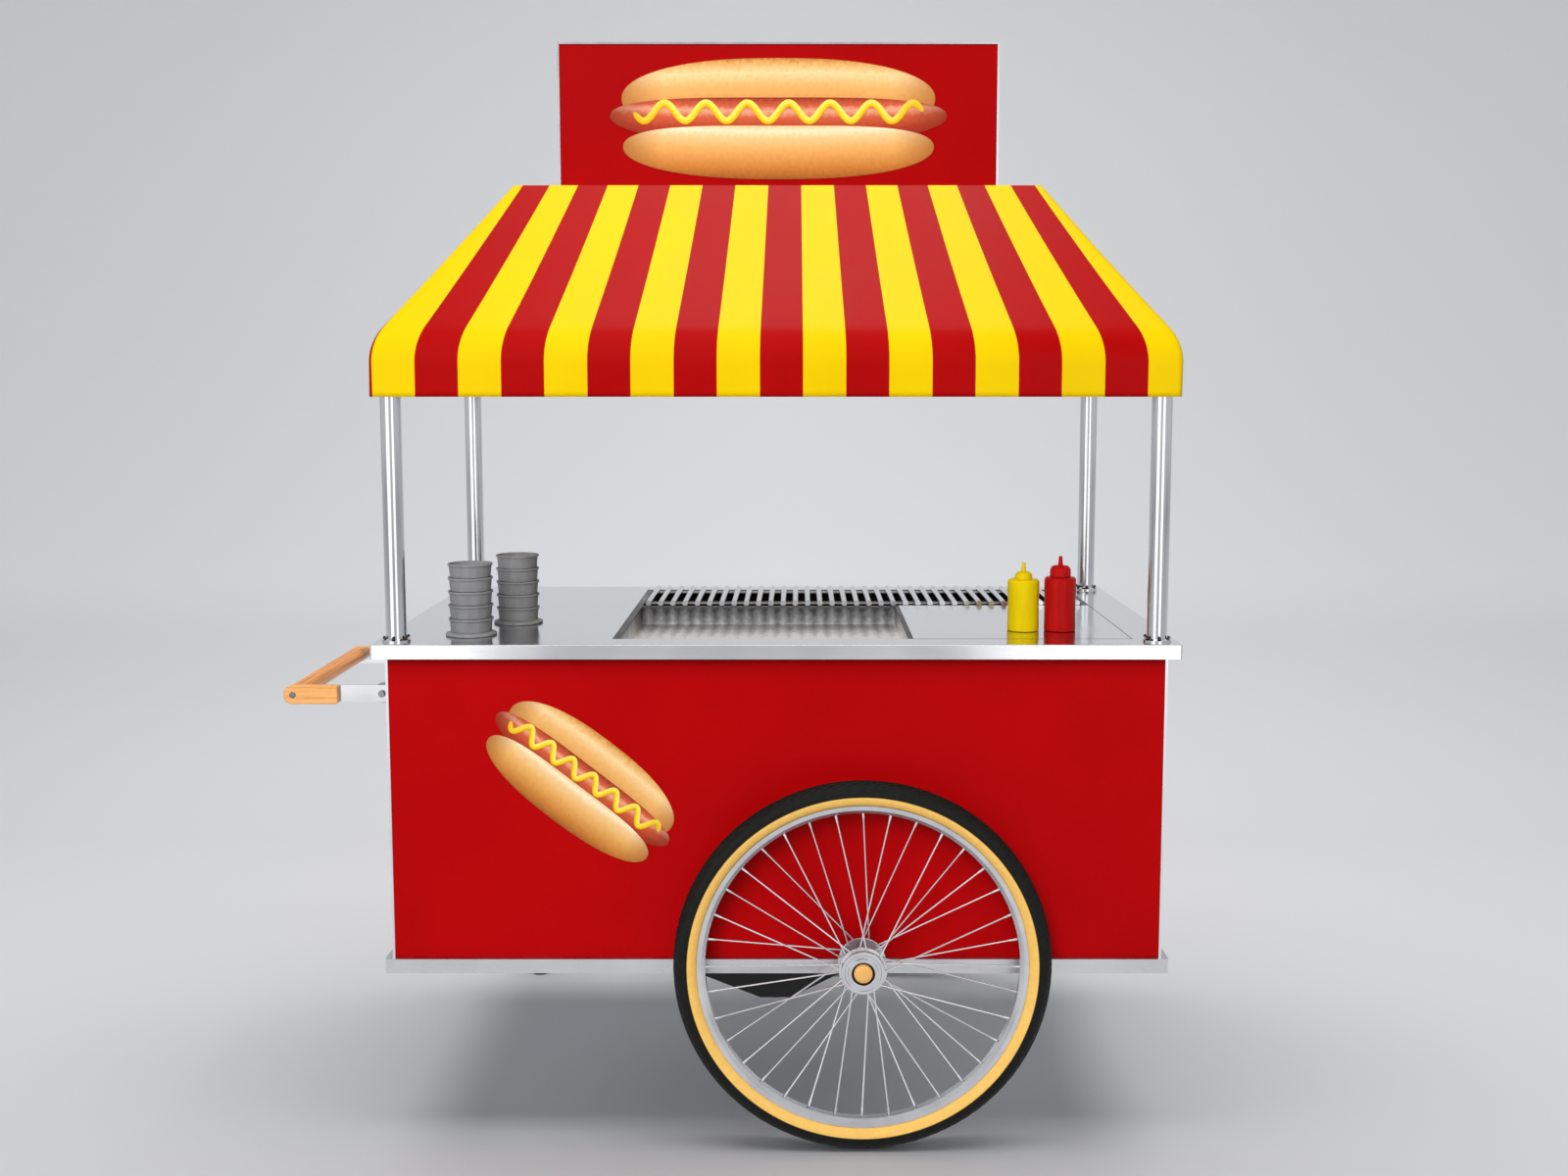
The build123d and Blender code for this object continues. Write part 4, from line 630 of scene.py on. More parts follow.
GREY_ENAMEL = Enamel("grey bottle paint", "8B9196", "7F858A", roughness=0.4)
BEECH_X = VarnishedWood("varnished beech, grain along the arm", "FBC07C", "F3B06A", "DA954C")
# darker and deeper than the cheeks' beech: painted shade on the grip, which lies further from the light
SHADED_BEECH_Y = VarnishedWood("beech with painted shade, grain along the grip", "FBAC58", "EE9949", "C2752E", Along.Y)
PLYWOOD = VarnishedWood("birch plywood", "D8BC8C", "CBAA76", "B8935C", coat=0.0)
TAN_CAP = MouldedPlastic("tan hub cap plastic", "F8C073", "EEB365", roughness=0.3)
YELLOW_PE = MouldedPlastic("yellow polyethylene", "F0D300", "E6C500")
RED_PE = MouldedPlastic("red polyethylene", "BC120F", "AE0E0C")
GREY_PP = MouldedPlastic("grey polypropylene", "949495", "858586", roughness=0.42, glow=0.0)
BLACK_ABS = MouldedPlastic("black phenolic", "191919", "121212", roughness=0.4, glow=0.0)
TYRE = TyreRubber("gum-wall tyre rubber")
AWNING = CoatedCloth("red and yellow awning cloth")

CAD_FINISHES: dict[Finish, tuple[str, ...]] = {
    COUNTER_STEEL: ("counter_top", "bun_bin", "cover_plate", "handle_arms"),
    BASIN_STEEL: ("drip_basin",),
    SHADED_LEDGE_STEEL: ("well_frame",),
    SHADED_TRAY_STEEL: ("base_tray",),
    POST_STEEL: ("canopy_posts", "post_rings", "door_pull"),
    SIDE_STEEL: ("side_panels",),
    ZINC_STEEL: (
        "cabinet_frame", "canopy_frame", "door_hinge_fixed", "door_hinge_moving", "drain_pipe",
        "axle", "axle_blocks", "axle_hardware", "front_bearings", "rear_bearings",
        "handle_brackets", "handle_pivots", "leg_bracket", "leg_tube",
    ),
    GRATE_STEEL: ("grill_grate",),
    RED_ENAMEL: ("front_panel", "rear_panel", "service_door"),
    SIGN_ENAMEL: ("sign_board",),
    BLACK_ENAMEL: ("fire_box", "drain_sump"),
    IRON: ("burner",),
    BRASS: ("gas_valve", "regulator"),
    COPPER: ("gas_pipe",),
    GREY_ENAMEL: ("gas_bottle",),
    PLYWOOD: ("floor_boards",),
    ALUMINIUM: ("front_rim", "rear_rim", "front_hub", "rear_hub", "sign_frame"),
    TAN_CAP: ("front_hub_cap", "rear_hub_cap"),
    BEECH_X: ("handle_cheeks",),
    SHADED_BEECH_Y: ("handle_grip",),
    BLACK_ABS: ("control_knob",),
    FOOT_RUBBER: ("leg_foot",),
    TYRE: ("front_tyre", "rear_tyre"),
    SPOKE_STEEL: ("front_spokes", "rear_spokes"),
    YELLOW_PE: ("mustard_bottle", "mustard_cap"),
    RED_PE: ("ketchup_bottle", "ketchup_cap"),
    GREY_PP: ("left_tubs", "right_tubs"),
    AWNING: ("canopy_cover",),
}


def around(steps: int) -> np.ndarray:
    """Angles of a number of points round a circle."""
    return np.linspace(0.0, 2 * np.pi, steps, endpoint=False)


def quad_corners(values: np.ndarray, wrap_u: bool = False, wrap_v: bool = False) -> np.ndarray:
    """Repeat a grid's values for the four corners of each of its quads.

    Args:
        values: one value, or row of values, for each point of the grid.
        wrap_u: whether the last row joins the first.
        wrap_v: whether the last column joins the first.

    Returns:
        Values shaped (rows of quads, columns of quads, 4 corners, ...).
    """
    values = np.concatenate([values, values[:1]]) if wrap_u else values
    values = np.concatenate([values, values[:, :1]], axis=1) if wrap_v else values
    return np.stack([values[:-1, :-1], values[1:, :-1], values[1:, 1:], values[:-1, 1:]], axis=2)


def soften(points: Sequence[Sequence[float]], radius: float, steps: int = 6) -> np.ndarray:
    """Round a profile's inner corners.

    Each corner B becomes the curve (1-t)^2 A + 2t(1-t) B + t^2 C, where A and C lie on its two legs
    at the radius.

    Args:
        points: the profile's corners.
        radius: how far from each corner the curve starts, less on short legs.
        steps: points on each curve.

    Returns:
        The rounded profile.
    """
    p = np.asarray(points, float)
    back, ahead = p[:-2] - p[1:-1], p[2:] - p[1:-1]
    lb, la = np.linalg.norm(back, axis=1, keepdims=True), np.linalg.norm(ahead, axis=1, keepdims=True)
    reach = np.minimum(radius, 0.48 * np.minimum(lb, la))  # just under half, so that two curves never meet
    a, c = p[1:-1] + back / lb * reach, p[1:-1] + ahead / la * reach
    t = np.linspace(0.0, 1.0, steps)[None, :, None]
    curve = (1 - t) ** 2 * a[:, None] + 2 * t * (1 - t) * p[1:-1][:, None] + t**2 * c[:, None]
    return np.concatenate([p[:1], curve.reshape(-1, p.shape[1]), p[-1:]])


def lathe(profile: np.ndarray, steps: int, centre: Triple = (0.0, 0.0, 0.0)) -> np.ndarray:
    """Surface of revolution about Z: (r cos a, r sin a, z) for each (r, z) of the profile and angle a.

    Args:
        profile: pairs of radius and height.
        steps: points round the axis.
        centre: where the axis meets height 0.

    Returns:
        A grid to be closed in its first direction.
    """
    angle = around(steps)[:, None]
    r, z = profile[None, :, 0], profile[None, :, 1]
    return np.stack([r * np.cos(angle), r * np.sin(angle), z + 0 * angle], axis=-1) + np.array(centre)


@dataclass
class MeshBuilder:
    """Collects numpy grids and turns them into one mesh object at the origin."""

    name: str
    points: list[np.ndarray] = field(default_factory=list)
    faces: list[np.ndarray] = field(default_factory=list)
    uvs: list[np.ndarray] = field(default_factory=list)
    count: int = 0

    def add(
        self, grid: np.ndarray, wrap_u: bool = False, wrap_v: bool = False, uv: Optional[np.ndarray] = None
    ) -> MeshBuilder:
        """Add quads over a grid, or over a stack of like grids.

        Args:
            grid: points shaped (..., rows, columns, 3).
            wrap_u: join the last row to the first.
            wrap_v: join the last column to the first.
            uv: one pair for each corner of each quad, in the order of the quads.

        Returns:
            The builder itself.
        """
        rows, columns = grid.shape[-3:-1]
        stack = int(np.prod(grid.shape[:-3], dtype=int))
        index = np.arange(rows * columns).reshape(rows, columns)
        quads = quad_corners(index, wrap_u, wrap_v).reshape(-1, 4)
        offsets = self.count + np.arange(stack) * rows * columns
        self.faces.append((quads[None] + offsets[:, None, None]).reshape(-1, 4))
        self.points.append(grid.reshape(-1, 3))
        self.count += stack * rows * columns
        if uv is not None:
            self.uvs.append(uv.reshape(-1, 2))
        return self

    def build(self, finish: Finish, smooth_deg: float = 35.0, merge_mm: float = 0.02) -> Object:
        """Make the object, close its seams and poles and turn its faces outwards.

        Args:
            finish: its finish.
            smooth_deg: edges sharper than this stay sharp.
            merge_mm: points nearer than this become one.

        Returns:
            The object, with its place in its mesh.
        """
        points, faces = np.concatenate(self.points), np.concatenate(self.faces)
        mesh = bpy.data.meshes.new(self.name)
        mesh.from_pydata(points.tolist(), [], faces.tolist())
        if self.uvs:
            layer = mesh.uv_layers.new(name="stripes")
            layer.data.foreach_set("uv", np.concatenate(self.uvs).astype(np.float32).ravel())
        work = bmesh.new()
        work.from_mesh(mesh)
        bmesh.ops.remove_doubles(work, verts=work.verts, dist=merge_mm * MM)
        bmesh.ops.dissolve_degenerate(work, edges=work.edges, dist=merge_mm * MM * 0.5)
        bmesh.ops.recalc_face_normals(work, faces=work.faces)
        work.to_mesh(mesh)
        work.free()
        mesh.polygons.foreach_set("use_smooth", np.ones(len(mesh.polygons), dtype=bool))
        mesh.set_sharp_from_angle(angle=math.radians(smooth_deg))
        mesh.materials.append(finish.material())
        made = bpy.data.objects.new(self.name, mesh)
        bpy.context.scene.collection.objects.link(made)
        return made


def finish_piece(piece: Object, body: str, slot: str, *nodes: str) -> None:
    """Let a piece ride on a body, hide the nodes it stands for, and report it.

    Args:
        piece: the finished object.
        body: the body it moves with.
        slot: its material slot; not used.
        nodes: the model's nodes that it replaces, if any.
    """
    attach(piece, body)
    if nodes:
        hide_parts(*nodes)
    LOG.info("%s on %s, %d faces", piece.name, body, len(piece.data.polygons))


@dataclass
class Canopy:
    """The striped cover: a straight valance, a rounded eave, four slopes with hips and a flat top."""

    run: float = 0.228
    valance: float = 0.061
    eave_radius: float = 0.116
    corner: float = 0.012
    thickness: float = 0.002
    stripe: float = 0.0780
    lean: float = 0.189  # how much the stripes draw together up the slope, in the middle
    lean_more: float = 0.081  # and how much more towards the ends
    lean_span: float = 0.72
    offset: float = 0.0099  # of the middle stripe from the middle of the long sides
    drift: float = 0.0044  # and how much further off at the top, in the middle
    drift_less: float = 0.0135  # and how much less towards the ends
    sag: float = 0.004
    sag_least: float = 0.4  # share of the sag where there is least of it
    hem_ripple: float = 0.0012
    ripples: int = 23
    side_points: int = 64
    end_points: int = 40
    corner_points: int = 6

    def eave_turn(self, height: float) -> float:
        """Angle of the eave's arc of radius R: atan((run-R)/rise) + asin(R/hypot(rise, run-R))."""
        rise, back = height - self.valance, self.run - self.eave_radius
        return math.atan2(back, rise) + math.asin(self.eave_radius / math.hypot(rise, back))

    def profile(self, height: float) -> tuple[np.ndarray, np.ndarray, np.ndarray]:
        """Inset, height and climb of the sheet: up the valance, round the eave's arc, straight up the slope.

        Args:
            height: of the whole cover.

        Returns:
            Inset, height above the hem and how far up the slope from 0 to 1, one of each per ring.
        """
        r = self.eave_radius
        up = np.linspace(0.0, self.valance, 7)[:-1]
        angle = np.linspace(0.0, self.eave_turn(height), 12)
        arc = np.stack([r * (1 - np.cos(angle)), self.valance + r * np.sin(angle)], axis=1)
        share = np.linspace(0.0, 1.0, 22)[1:]
        slope = arc[-1] + (np.array([self.run, height]) - arc[-1]) * share[:, None]
        line = np.concatenate([np.stack([np.zeros_like(up), up], axis=1), arc, slope])
        climb = np.clip((line[:, 1] - self.valance) / (height - self.valance), 0.0, 1.0)
        return line[:, 0], line[:, 1], climb

    def ring(self, half_x: np.ndarray, half_y: np.ndarray, radius: np.ndarray) -> np.ndarray:
        """Rounded rectangles with the same count of points: four straight sides and four quarter arcs.

        Args:
            half_x: half length of each ring.
            half_y: half depth of each ring.
            radius: corner radius of each ring.

        Returns:
            Points shaped (rings, points round, 2), from the left end of the front side onwards.
        """
        hx, hy, r = half_x[:, None], half_y[:, None], radius[:, None]
        s = np.linspace(-1.0, 1.0, self.side_points)[None]
        e = np.linspace(-1.0, 1.0, self.end_points)[None]
        a = np.linspace(0.0, np.pi / 2, self.corner_points + 2)[None, 1:-1]
        front = np.stack([s * (hx - r), -hy + 0 * s], axis=-1)
        right = np.stack([hx + 0 * e, e * (hy - r)], axis=-1)
        corner_fr = np.stack([hx - r + r * np.sin(a), -hy + r - r * np.cos(a)], axis=-1)
        corner_br = np.stack([hx - r + r * np.cos(a), hy - r + r * np.sin(a)], axis=-1)
        half = np.concatenate([front, corner_fr, right, corner_br], axis=1)
        return np.concatenate([half, -half], axis=1)

    def stripe_number(self, across: np.ndarray, pull: np.ndarray, shift: float) -> np.ndarray:
        """Count of stripes from the middle one.

        A stripe at h on the hem lies on the slope at
        h (1 - pull (lean + lean_more u)) + shift (offset + pull (drift - drift_less u)),
        with u = (h / lean_span)^2. So h is found from the place by solving for it with the last u,
        again and again, which settles in a few turns.

        Args:
            across: distance from the face's middle.
            pull: 0 at the eave, 1 at the top, by how far in the sheet lies.
            shift: 1 where the stripes are off the middle, 0 where they aren't.

        Returns:
            The stripe coordinate, 1 for each stripe.
        """
        origin = across.copy()
        for _ in range(12):
            far = (origin / self.lean_span) ** 2
            aside = shift * (self.offset + pull * (self.drift - self.drift_less * far))
            origin = (across - aside) / (1.0 - pull * (self.lean + self.lean_more * far))
        return origin / self.stripe

    def stripe_uv(self, grid: np.ndarray, climb: np.ndarray, inset: np.ndarray, middle: Vector) -> np.ndarray:
        """Stripe number and climb in metres for each corner of each quad.

        The two ends count along Y. The long sides, the rounded corners and the flat top count along X.

        Args:
            grid: the sheet's points.
            climb: of each ring.
            inset: of each ring.
            middle: of the cover.

        Returns:
            UV pairs in the order of the quads.
        """
        path = np.concatenate([[0.0], np.cumsum(np.hypot(np.diff(inset), np.diff(grid[:, 0, 2])))])
        x, y = grid[..., 0] - middle.x, grid[..., 1] - middle.y
        pull = np.broadcast_to(np.clip(inset / self.run, 0.0, 1.0)[:, None], x.shape)
        long = self.stripe_number(x, pull, 1.0)
        end = self.stripe_number(y, pull, 0.0) + 1.0
        rise = np.broadcast_to(path[:, None], x.shape)
        first = self.side_points + self.corner_points
        column = np.arange(x.shape[1]) % (x.shape[1] // 2)
        on_end = (column >= first) & (column < first + self.end_points - 1)
        is_end = on_end[None, :] & (climb[1:] < 1.0)[:, None]
        u = np.where(is_end[..., None], quad_corners(end, wrap_v=True), quad_corners(long, wrap_v=True))
        return np.stack([u, quad_corners(rise, wrap_v=True)], axis=-1)

    def build(self) -> Object:
        """Make the sheet from its rings, with a slight sag and a rippled hem, and give it thickness.

        Returns:
            The cover's object.
        """
        low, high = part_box("canopy_cover")
        middle = (low + high) / 2
        half_x, half_y, height = (high.x - low.x) / 2, (high.y - low.y) / 2, high.z - low.z
        inset, z, climb = self.profile(height)
        lid = np.linspace(0.0, 1.0, 9)[1:] * (half_y - self.run)
        corner = np.concatenate([np.full(z.size, self.corner), self.corner * (1 - lid / lid[-1])])
        inset = np.concatenate([inset, self.run + lid])
        z = np.concatenate([z, np.full(lid.size, height)])
        climb = np.concatenate([climb, np.ones(lid.size)])
        plan = self.ring(half_x - inset, half_y - inset, corner)
        where = np.arange(plan.shape[1]) / plan.shape[1]
        belly = np.sin(np.pi * climb) * (climb < 1)
        across = np.sqrt(np.abs(np.sin(2 * np.pi * where)))[None]
        drop = self.sag * belly[:, None] * np.minimum(1.0, across + self.sag_least)
        low_share = np.clip(1 - z / self.valance, 0, 1)[:, None]
        ripple = self.hem_ripple * low_share * np.sin(2 * np.pi * self.ripples * where)[None]
        outward = plan / np.linalg.norm(plan, axis=-1, keepdims=True).clip(1e-9)
        plan = plan + outward * ripple[..., None]
        grid = np.concatenate([plan, (z[:, None] - drop)[..., None]], axis=-1)
        grid = grid + np.array([middle.x, middle.y, low.z])
        uv = self.stripe_uv(grid, climb, inset, middle)
        made = MeshBuilder("canopy_sheet").add(grid, wrap_v=True, uv=uv).build(AWNING, smooth_deg=50.0)
        wall = made.modifiers.new("thickness", "SOLIDIFY")
        wall.thickness = self.thickness
        wall.offset = -1.0
        finish_piece(made, "cart", "striped_cloth", "canopy_cover")
        return made


@dataclass
class Wheel:
    """Spoked wheel: treaded tyre, laced spokes with nipples and a turned hub; its rim is the model's own."""

    end: str
    outward: float
    radius: float = 0.350
    section: float = 0.0237
    bead: float = 0.0122
    wall: float = 0.005
    groove: float = 0.0016
    tread_deg: float = 52.0
    tread_fade_deg: float = 6.0
    blocks: int = 96
    block_lean: float = 16.0
    block_gap: float = 0.45
    block_edge: float = 2.2
    groove_deg: float = 17.0
    groove_half_deg: float = 4.5
    spokes: int = 36
    cross_deg: float = 19.0
    seat_radius: float = 0.0405
    rim_radius: float = 0.291
    wire: float = 0.0016
    head: float = 0.0026
    head_back: float = 0.0012
    head_length: float = 0.0016
    head_taper: float = 0.0006
    nipple: float = 0.0028
    nipple_length: float = 0.014
    nipple_taper: float = 0.002
    nipple_neck: float = 0.8  # radius at its hub end, as a share
    nipple_crown: float = 0.004
    nipple_edge: float = 0.0005
    flange: float = 0.026
    flange_half: float = 0.0015
    outer_gap: float = 0.0008  # of the leading wires from the flange
    inner_gap: float = 0.0003  # and of the trailing ones
    spread: float = 0.006

    def centre(self) -> np.ndarray:
        """Middle of the wheel."""
        low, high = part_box(f"{self.end}_tyre")
        return np.array((low + high) / 2)

    def place(self, across: np.ndarray, x: np.ndarray, z: np.ndarray) -> np.ndarray:
        """Points from wheel coordinates, across counted outwards."""
        return np.stack([self.outward * x, self.outward * across, z], axis=-1) + self.centre()

    def turned(self, r: np.ndarray, across: np.ndarray, steps: int) -> np.ndarray:
        """Surface of revolution about the axle: r cos a along X, r sin a up, for each r and place across."""
        a = around(steps)[:, None]
        return self.place(across + 0 * a, r * np.cos(a), r * np.sin(a))

    def tyre(self) -> None:
        """Round section carried about the axle.

        A section point at angle p lies at (s sin p) across and (R - section + s cos p) out. On the
        crown, s is less by the groove where cos(blocks a + block_lean |p|) is low, between the blocks,
        and near groove_deg on each side.
        """
        limit = math.pi - math.asin(self.bead / self.section)
        core, steps = self.radius - self.section, 768
        p = np.linspace(-limit, limit, 73)[None]
        off = np.degrees(np.abs(p))
        crown = np.clip((self.tread_deg - off) / self.tread_fade_deg, 0, 1)
        wave = np.cos(self.blocks * around(steps)[:, None] + self.block_lean * np.abs(p))
        blocks = np.clip((wave + self.block_gap) * -self.block_edge, 0, 1)
        ring = np.clip(1 - np.abs(off - self.groove_deg) / self.groove_half_deg, 0, 1)
        s = self.section - self.groove * crown * np.maximum(blocks, ring)
        outer = self.turned(core + s * np.cos(p), s * np.sin(p), steps)
        t, q = self.section - self.wall, np.linspace(limit, -limit, 17)[None]
        inner = self.turned(core + t * np.cos(q), t * np.sin(q), steps)
        grid = np.concatenate([outer, inner], axis=1)
        made = MeshBuilder(f"{self.end}_tyre_tread").add(grid, wrap_u=True, wrap_v=True).build(TYRE, 40.0)
        finish_piece(made, f"{self.end}_wheel", "tyre_rubber", f"{self.end}_tyre")

    def lacing(self) -> None:
        """Wires with a head at the hub and a nipple at the rim: a profile of radii carried along each run."""
        index = np.arange(self.spokes)
        side = np.where(index % 2 == 0, 1.0, -1.0)
        lead = (index // 2) % 2 == 0
        rim_angle = 2 * np.pi * index / self.spokes
        hub_angle = rim_angle + np.where(lead, 1.0, -1.0) * math.radians(self.cross_deg)
        gap = self.flange_half + self.wire
        seat_y = side * (self.flange + np.where(lead, gap + self.outer_gap, -gap - self.inner_gap))
        seat_x, seat_z = self.seat_radius * np.cos(hub_angle), self.seat_radius * np.sin(hub_angle)
        rim_x, rim_z = self.rim_radius * np.cos(rim_angle), self.rim_radius * np.sin(rim_angle)
        seat = np.stack([seat_x, seat_y, seat_z], axis=-1)
        end = np.stack([rim_x, side * self.spread / 2, rim_z], axis=-1)
        length = np.linalg.norm(end - seat, axis=-1, keepdims=True)
        way = (end - seat) / length
        level = np.cross(way, np.array([0.0, 1.0, 0.0]))
        level = level / np.linalg.norm(level, axis=-1, keepdims=True)
        third = np.cross(way, level)
        total = float(length.mean())
        neck, crown = total - self.nipple_length, total - self.nipple_crown
        run = np.array([
            (-self.head_back, 0.0), (0.0, self.head), (self.head_length, self.head),
            (self.head_length + self.head_taper, self.wire), (neck - self.nipple_taper, self.wire),
            (neck, self.nipple * self.nipple_neck), (crown, self.nipple),
            (total - self.nipple_edge, self.nipple), (total, 0.0),
        ])
        turn = around(8)[None, :, None]
        circle = np.cos(turn) * level[:, None] + np.sin(turn) * third[:, None]
        along = seat[:, None] + way[:, None] * run[None, :, :1]
        grid = along[:, :, None] + circle[:, None] * run[None, :, None, 1:]
        points = self.place(grid[..., 1], grid[..., 0], grid[..., 2])
        made = MeshBuilder(f"{self.end}_spoke_wires").add(points, wrap_v=True).build(SPOKE_STEEL, 50.0)
        finish_piece(made, f"{self.end}_wheel", "spoke_chrome", f"{self.end}_spokes")

    def build(self) -> None:
        """Make the wheel's own pieces."""
        self.tyre()
        self.lacing()
        WheelHub(self).build()


@dataclass
class WheelHub:
    """Turned hub with two flanges and a stepped face, the bearing's black seal, which also paints the shade
    in the gap round the cap, and a tan cap in the recess.
    """

    wheel: Wheel
    steps: int = 96
    inner_end: float = -0.038
    bearing_radius: float = 0.0202
    bearing_width: float = 0.012
    bearing_out: float = 0.032
    shoulder: float = 0.0165
    barrel: float = 0.026
    flange_radius: float = 0.0445
    boss_radius: float = 0.0400
    boss_out: float = 0.0400
    groove_radius: float = 0.0335
    groove_out: float = 0.0380
    nose_radius: float = 0.0275
    nose_out: float = 0.0435
    recess_radius: float = 0.0213
    edge: float = 0.0012
    cap_radius: float = 0.0168
    cap_out: float = 0.0470
    cap_dome: float = 0.0022
    cap_wall: float = 0.0014
    seal_out: float = 0.0375

    def hub(self) -> np.ndarray:
        """Closed outline of the hub, as radius and distance outwards, from the inner end round to it.

        Returns:
            The outline with its edges broken.
        """
        f, near, edge = self.wheel.flange, self.wheel.flange_half, self.edge
        bearing, barrel, rim = self.bearing_radius, self.barrel, self.flange_radius
        inner_seat, outer_seat = self.inner_end + self.bearing_width, self.bearing_out - self.bearing_width
        corners = [
            (bearing, self.inner_end), (barrel, self.inner_end), (barrel, -f - near), (rim, -f - near),
            (rim, -f + near), (barrel, -f + near), (barrel, f - near), (rim, f - near), (rim, f + near),
            (self.boss_radius, f + near), (self.boss_radius, self.boss_out),
            (self.groove_radius, self.boss_out), (self.groove_radius, self.groove_out),
            (self.nose_radius, self.groove_out), (self.nose_radius, self.nose_out),
            (self.recess_radius, self.nose_out),
            (self.recess_radius, self.bearing_out), (bearing, self.bearing_out), (bearing, outer_seat),
            (self.shoulder, outer_seat), (self.shoulder, inner_seat), (bearing, inner_seat),
            (bearing, self.inner_end + edge),
        ]
        return soften(corners, edge, 4)

    def cap(self) -> np.ndarray:
        """Open outline of the cap from the middle of its crown round the skirt to the middle inside.

        Returns:
            Pairs of radius and distance outwards.
        """
        r, wall, out = self.cap_radius, self.cap_wall, self.cap_out
        skirt, low = self.recess_radius - wall / 4, self.bearing_out + wall / 4
        step, top, inner = self.seal_out - wall, out - self.cap_dome, r - wall
        corners = [
            (0.0, out), (r * 0.6, out - self.cap_dome * 0.25), (r, top), (r, step), (skirt, step),
            (skirt, low), (inner, low), (inner, top - wall), (0.0, out - wall),
        ]
        return soften(corners, self.edge, 4)

    def seal(self) -> np.ndarray:
        """Closed outline of the seal's lip round the cap, a black ring that also stands in for the shade in
        the gap.

        Returns:
            Pairs of radius and distance outwards.
        """
        low, gap = self.seal_out - self.cap_wall * 0.9, self.cap_wall / 5
        inner, outer = self.cap_radius + gap, self.recess_radius - gap
        return np.array([(inner, low), (outer, low), (outer, self.seal_out), (inner, self.seal_out - gap)])

    def build(self) -> None:
        """Turn the three pieces."""
        end = self.wheel.end
        for name, outline, closed, finish, slot, nodes in (
            ("hub_turned", self.hub(), True, ALUMINIUM, "rim_aluminium", [f"{end}_hub"]),
            ("hub_cap_moulded", self.cap(), False, TAN_CAP, "tan_plastic", [f"{end}_hub_cap"]),
            # a black ring in the gap round the cap: a seal, and painted shade where the gap is dark
            ("hub_seal_and_shade", self.seal(), True, FOOT_RUBBER, "foot_rubber", []),
        ):
            grid = self.wheel.turned(outline[None, :, 0], outline[None, :, 1], self.steps)
            made = MeshBuilder(f"{end}_{name}").add(grid, wrap_u=True, wrap_v=closed).build(finish)
            finish_piece(made, f"{end}_wheel", slot, *nodes)


